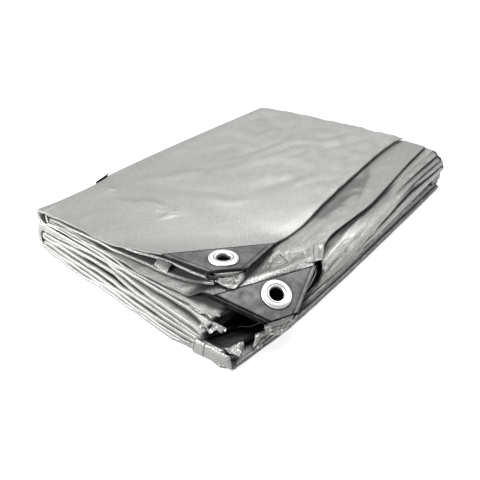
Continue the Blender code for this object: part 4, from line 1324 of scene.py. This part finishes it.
def seam_painted_shade(number, a, b):
    """Give the painted shade of a line of the sleeve at its seams and its closed edges, and on sleeve 2
    a painted black band along a closed edge with a painted highlight line in it.
    """
    near = np.minimum(a, b)
    seam = SEAM_PAINTED_SHADE * np.exp(-((near - SEAM_PLACE) / SEAM_WIDTH) ** 2)
    dark = np.maximum(seam, UNDERSIDE_PAINTED_SHADE * ramp(near, 0.7, -0.4))
    if number == 2:
        # Painted highlight: a lighter line inside the painted black band
        shine = 0.45 * np.exp(-((b - 2.3) / 0.35) ** 2)
        dark = np.maximum(dark, 0.95 * ramp(b, 5.0, -0.8) - shine)
    return dark


def make_sleeve(patch, material):
    """Make a corner sleeve: folded plastic with two closed edges, open at its cut corner, with painted
    shade on it.
    """
    number = patch["number"]
    sides = (sleeve_side(0.0, PATCH_HALF), sleeve_side(PATCH_WALL, PATCH_HALF - PATCH_WALL))
    matrix = patch_frame(patch)
    vertices, loops, dark = [], [], []
    for a, b, height in sides:
        for row in range(SLEEVE_ROWS):
            # Painted shade: black rows at the open mouth and along the long edge, dark undersides
            rim = row in (0, 1, SLEEVE_ROWS - 2, SLEEVE_ROWS - 1)
            seams = seam_painted_shade(number, a[row], b[row])
            dark += list(np.maximum(seams, float(rim))) + [UNDERSIDE_PAINTED_SHADE] * (SLEEVE_COLUMNS - 2)
            top = [(-a[row, k], b[row, k], height[row, k]) for k in range(SLEEVE_COLUMNS)]
            under = [(-a[row, k], b[row, k], -height[row, k])
                     for k in range(SLEEVE_COLUMNS - 2, 0, -1)]
            start = len(vertices)
            vertices += top + under
            loops.append(list(range(start, start + len(top) + len(under))))
    ring = loops[:SLEEVE_ROWS] + loops[:SLEEVE_ROWS - 1:-1]
    faces = []
    for near, far in zip(ring, ring[1:] + ring[:1]):
        for i in range(len(near)):
            j = (i + 1) % len(near)
            faces.append((near[i], near[j], far[j], far[i]))
    points = [matrix @ Vector([c * MM for c in vertex]) for vertex in vertices]
    piece = add_piece("corner_sleeve_%d" % number, points, faces, material)
    along, beside = patch["eyelet"]
    away = np.array([math.hypot(vertex[0] + along, vertex[1] - beside) for vertex in vertices])
    # Painted shadow in a ring round the eyelet's flange
    flange_painted_shadow = 0.8 * np.exp(-((away - EYELET_FLANGE) / 0.9) ** 2)
    store_zone(piece, "painted_shade", np.maximum(np.array(dark), flange_painted_shadow))
    close_normals(piece)
    cut_hole(piece, patch, 3 * PATCH_HALF)
    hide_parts("corner_patch_%d" % number)


def turn_profile(name, profile, matrix, material):
    """Turn a closed profile of radius and height about the axis of a frame."""
    vertices, faces = [], []
    for k in range(TURN_STEPS):
        angle = 2.0 * math.pi * k / TURN_STEPS
        for radius, height in profile:
            place = (radius * math.cos(angle) * MM, radius * math.sin(angle) * MM, height * MM)
            vertices.append(matrix @ Vector(place))
    size = len(profile)
    for k in range(TURN_STEPS):
        near, far = k * size, (k + 1) % TURN_STEPS * size
        for i in range(size):
            j = (i + 1) % size
            faces.append((near + i, far + i, far + j, near + j))
    piece = add_piece(name, vertices, faces, material)
    close_normals(piece)
    piece.data.set_sharp_from_angle(angle=math.radians(SHARP_ANGLE))
    return piece


def make_eyelet(patch, material):
    """Make the flanged eyelet and its washer."""
    number = patch["number"]
    matrix = eyelet_frame(patch)
    seat = PATCH_HALF + SEAT_GAP
    lip_top = -seat - WASHER_THICK - SEAT_GAP
    crown = seat + FLANGE_RISE
    profile = (
        (EYELET_FLANGE, seat), (EYELET_FLANGE, seat + 0.35), (11.75, seat + 0.8), (11.2, seat + 1.25),
        (10.4, seat + 1.6), (9.4, crown), (8.4, crown - 0.05), (7.9, crown - 0.2), (7.6, crown - 0.3),
        (7.4, crown - 0.1), (7.0, crown - 0.05), (6.5, crown - 0.3), (6.1, crown - 0.8),
        (EYELET_BORE, crown - 1.5), (EYELET_BORE, crown - 3.4), (EYELET_BORE, crown - 3.8),
        (EYELET_BORE, lip_top - 0.2), (6.1, lip_top - 0.6), (EYELET_BARREL, lip_top - LIP_THICK),
        (7.6, lip_top - LIP_THICK), (LIP_RADIUS, lip_top - 0.5), (LIP_RADIUS, lip_top),
        (EYELET_BARREL, lip_top), (EYELET_BARREL, seat))
    eyelet = turn_profile("eyelet_ring_%d" % number, profile, matrix, material)
    # Painted shade in the groove of the flange's step and down the bore
    dark = [0.8 * float(7.3 < radius < 7.95) + 0.55 * float(radius < 6.3 and height < crown - 1.0)
            + 0.45 * float(radius < 6.3 and height < crown - 3.6) for radius, height in profile]
    store_zone(eyelet, "painted_shade", np.tile(dark, TURN_STEPS))
    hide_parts("eyelet_%d" % number)
    under = (
        (EYELET_FLANGE, -seat), (EYELET_BARREL + SEAT_GAP, -seat),
        (EYELET_BARREL + SEAT_GAP, -seat - WASHER_THICK),
        ((EYELET_BARREL + EYELET_FLANGE) / 2, -seat - WASHER_THICK),
        (11.0, -seat - 0.85 * WASHER_THICK), (11.7, -seat - 0.5 * WASHER_THICK),
        (EYELET_FLANGE, -seat - 0.2 * WASHER_THICK))
    washer = turn_profile("washer_ring_%d" % number, under, matrix, material)
    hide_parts("washer_%d" % number)


def find_fold(layers):
    """Give the row of the fold that joins two layers."""
    return next(row for row in FOLDS if row[1:3] == layers)


def add_strip(name, grid, material, dark):
    """Add a thin strip of sleeve plastic from rows of points, all with one painted shade."""
    points = to_row(np.array(grid).reshape(-1, 3))
    faces = grid_faces(len(grid) - 1, len(grid[0]) - 1)
    piece = add_piece(name, points, faces, material)
    store_zone(piece, "painted_shade", np.full(len(points), dark))
    return piece


def make_curl(curl, material):
    """Make the edge of a sleeve that follows a fold of the sheet, painted black with painted shade."""
    fold = find_fold(curl["fold"])
    first, last = curl["steps"]
    grid = []
    for i in range(CURL_STEPS + 1):
        y = curl["front"] + (curl["back"] - curl["front"]) * i / CURL_STEPS
        grid.append([fold_point(fold, math.pi * (first + (last - first) * k / CURL_STEPS), y,
                                curl["outwards"]) for k in range(CURL_STEPS + 1)])
    number = curl["number"]
    piece = add_strip("corner_sleeve_%d" % number, grid, material, CURL_PAINTED_SHADE)
    add_wall(piece, CURL_WALL, even=True)
    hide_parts("corner_patch_%d" % number)


def make_band(material, cloth):
    """Make the edge of sleeve 3 round the front of the roll, its dark plastic painted black as shade,
    and the light line inside it.
    """
    fold = find_fold(BIG_FOLD)
    first, last = BAND_EDGE[0][0], BAND_EDGE[-1][0]
    grid = []
    for share in np.linspace(first, last, 2 * CURL_STEPS + 1):
        edge = read_rows(share, BAND_EDGE, 1)
        width = BAND_WIDTH * min(1.0, (share - first) / BAND_TAPER)
        grid.append([fold_point(fold, math.pi * share, edge + width * k / BAND_COLUMNS, BAND_OUTWARDS)
                     for k in range(BAND_COLUMNS + 1)])
    add_wall(add_strip("sleeve_band_3", grid, material, BAND_PAINTED_SHADE), BAND_WALL)
    line = []
    for share in np.linspace(*LINE_SHARES):
        edge = read_rows(share, BAND_EDGE, 1) - LINE_FORWARD
        line.append(fold_point(fold, math.pi * share, edge, LINE_OUTWARDS))
    make_rim("roll_line", LINE_RADIUS, line, cloth)


def make_rim(name, radius, points, material):
    """Make a rolled rim as a round curve through points."""
    data = bpy.data.curves.new(name, "CURVE")
    data.dimensions = "3D"
    data.bevel_depth = radius * MM
    data.bevel_resolution = 3
    data.use_fill_caps = True
    spline = data.splines.new("NURBS")
    spline.points.add(len(points) - 1)
    for point, place in zip(spline.points, to_row(points)):
        point.co = (*place, 1.0)
    spline.order_u = 3
    spline.use_endpoint_u = True
    spline.resolution_u = 8
    data.materials.append(material)
    piece = add_object(name, data)
    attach(piece, BODY)


def make_crumple(row, material):
    """Make a crumpled piece of the sheet between four corners, ragged at its free edge, with painted
    shade in its hollows and pleats.
    """
    name, height, size, seed, hollow_painted_shade, more, corners = row
    corners = np.array(corners)
    width = np.linalg.norm(corners[1] - corners[0])
    depth = np.linalg.norm(corners[3] - corners[0])
    columns, rows = (math.ceil(length / CRUMPLE_STEP) for length in (width, depth))
    u, v = np.meshgrid(np.linspace(0.0, 1.0, columns + 1), np.linspace(0.0, 1.0, rows + 1))
    if name not in WHOLE_CLOTHS:
        taper = 0.5 + 0.5 * np.sin(math.pi * (0.08 + 0.84 * u))
        if name in END_CLOTHS:
            taper = 1.0 - 0.75 * u ** 3
        v = v * taper * (1.0 + 0.3 * lattice_noise(u * width / size, 0.0 * v, seed + 5))
    near = corners[0] + u[..., None] * (corners[1] - corners[0])
    far = corners[3] + u[..., None] * (corners[2] - corners[3])
    normal = np.cross(corners[2] - corners[0], corners[3] - corners[1])
    normal /= np.linalg.norm(normal)
    rough = crumple(u * width / size, v * depth / size, seed)
    rise = height * rough
    # Painted shade in the hollows, and at least the least value all over
    dark = np.maximum(hollow_painted_shade * np.clip(0.1 - 1.3 * rough, 0.0, 1.0), more.get("least", 0.0))
    # Pleats with painted shade in them
    for place in more.get("lines", ()):
        line = np.exp(-(((u - place) * width + 1.5 * (v - 0.5)) / PLEAT_WIDTH) ** 2)
        dark = np.maximum(dark, 0.9 * line)
        rise = rise - PLEAT_DEPTH * line
    bulge = (1.0 - (2.0 * v - 1.0) ** 4) * ramp((1.0 - u) * width, 0.0, BOW_EASE) ** 0.5
    rise = rise + more.get("bow", 0.0) * bulge
    points = near + v[..., None] * (far - near) - rise[..., None] * normal
    faces = grid_faces(rows, columns)
    piece = add_piece(name, to_row(points.reshape(-1, 3)), faces, material)
    store_weave(piece, np.stack((u * width, v * depth), axis=-1).reshape(-1, 2))
    store_zone(piece, "painted_shade", dark.reshape(-1))
    store_zone(piece, "crinkle", np.full(dark.size, more.get("gloss", CRUMPLE_GLOSS)))
    add_wall(piece, CRUMPLE_WALL)
    return piece


def make_camera():
    """Place the camera."""
    turn, tilt, roll = (math.radians(angle) for angle in (CAMERA_TURN, CAMERA_TILT, CAMERA_ROLL))
    forward = Vector((-math.sin(turn) * math.cos(tilt), math.cos(turn) * math.cos(tilt),
                      -math.sin(tilt)))
    right = Vector((math.cos(turn), math.sin(turn), 0.0))
    down = forward.cross(right)
    rolled_right = math.cos(roll) * right + math.sin(roll) * down
    rolled_down = -math.sin(roll) * right + math.cos(roll) * down
    matrix = Matrix((rolled_right, -rolled_down, -forward)).transposed().to_4x4()
    matrix.translation = CAMERA_PLACE
    data = bpy.data.cameras.new("camera")
    data.lens = CAMERA_LENS
    data.sensor_width = CAMERA_SENSOR
    data.clip_start = CAMERA_NEAR
    camera = add_object("camera", data)
    camera.matrix_world = matrix
    bpy.context.scene.camera = camera


def add_light(name, place, target, width, height, power):
    """Add a soft rectangular light that looks at a target."""
    data = bpy.data.lights.new(name, "AREA")
    data.shape = "RECTANGLE"
    data.size = width
    data.size_y = height
    data.energy = power
    light = add_object(name, data)
    light.location = place
    away = Vector(target) - Vector(place)
    light.rotation_euler = away.to_track_quat("-Z", "Y").to_euler()


def make_stage():
    """Make the pale floor, the soft lights and the world."""
    scene = bpy.context.scene
    material, _, shader = new_material("pale floor", 0.9, 0.0)
    shader.inputs["Base Color"].default_value = (FLOOR_GREY, FLOOR_GREY, FLOOR_GREY, 1.0)
    shader.inputs["Specular IOR Level"].default_value = FLOOR_SHINE
    shader.inputs["Emission Color"].default_value = (1.0, 1.0, 1.0, 1.0)
    shader.inputs["Emission Strength"].default_value = FLOOR_GLOW
    mesh = bpy.data.meshes.new("floor")
    shape = bmesh.new()
    bmesh.ops.create_grid(shape, x_segments=1, y_segments=1, size=FLOOR_SIZE)
    shape.to_mesh(mesh)
    shape.free()
    mesh.materials.append(material)
    floor = add_object("floor", mesh)
    floor.location = (0.0, 0.0, FLOOR_HEIGHT)
    for name, row in LIGHTS.items():
        add_light(name, *row)
    world = bpy.data.worlds.new("studio")
    world.use_nodes = True
    background = world.node_tree.nodes["Background"]
    background.inputs["Color"].default_value = (1.0, 1.0, 1.0, 1.0)
    background.inputs["Strength"].default_value = WORLD_STRENGTH
    scene.world = world
    scene.view_settings.view_transform = "Standard"


def main():
    """Dress the folded tarp."""
    make_camera()
    make_stage()
    woven = make_woven()
    plastic = make_plastic("dark sleeve plastic", 1.0)
    # Sleeve plastic at a quarter of its shade: painted shade of the open mouth and the roll's end
    rim = make_plastic("rim plastic with painted shade", 0.25)
    metal = make_metal()
    sheet = make_sheet(woven)
    for patch in PATCHES:
        cut_hole(sheet, patch, 1.2 * SHEET)
        make_sleeve(patch, plastic)
        make_eyelet(patch, metal)
    for curl in CURLS:
        make_curl(curl, plastic)
    make_band(rim, woven)
    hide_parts("tarp")
    for name, radius, points in RIMS:
        make_rim(name, radius, points, rim)
    crumples = [make_crumple(row, woven) for row in CRUMPLES]


main()
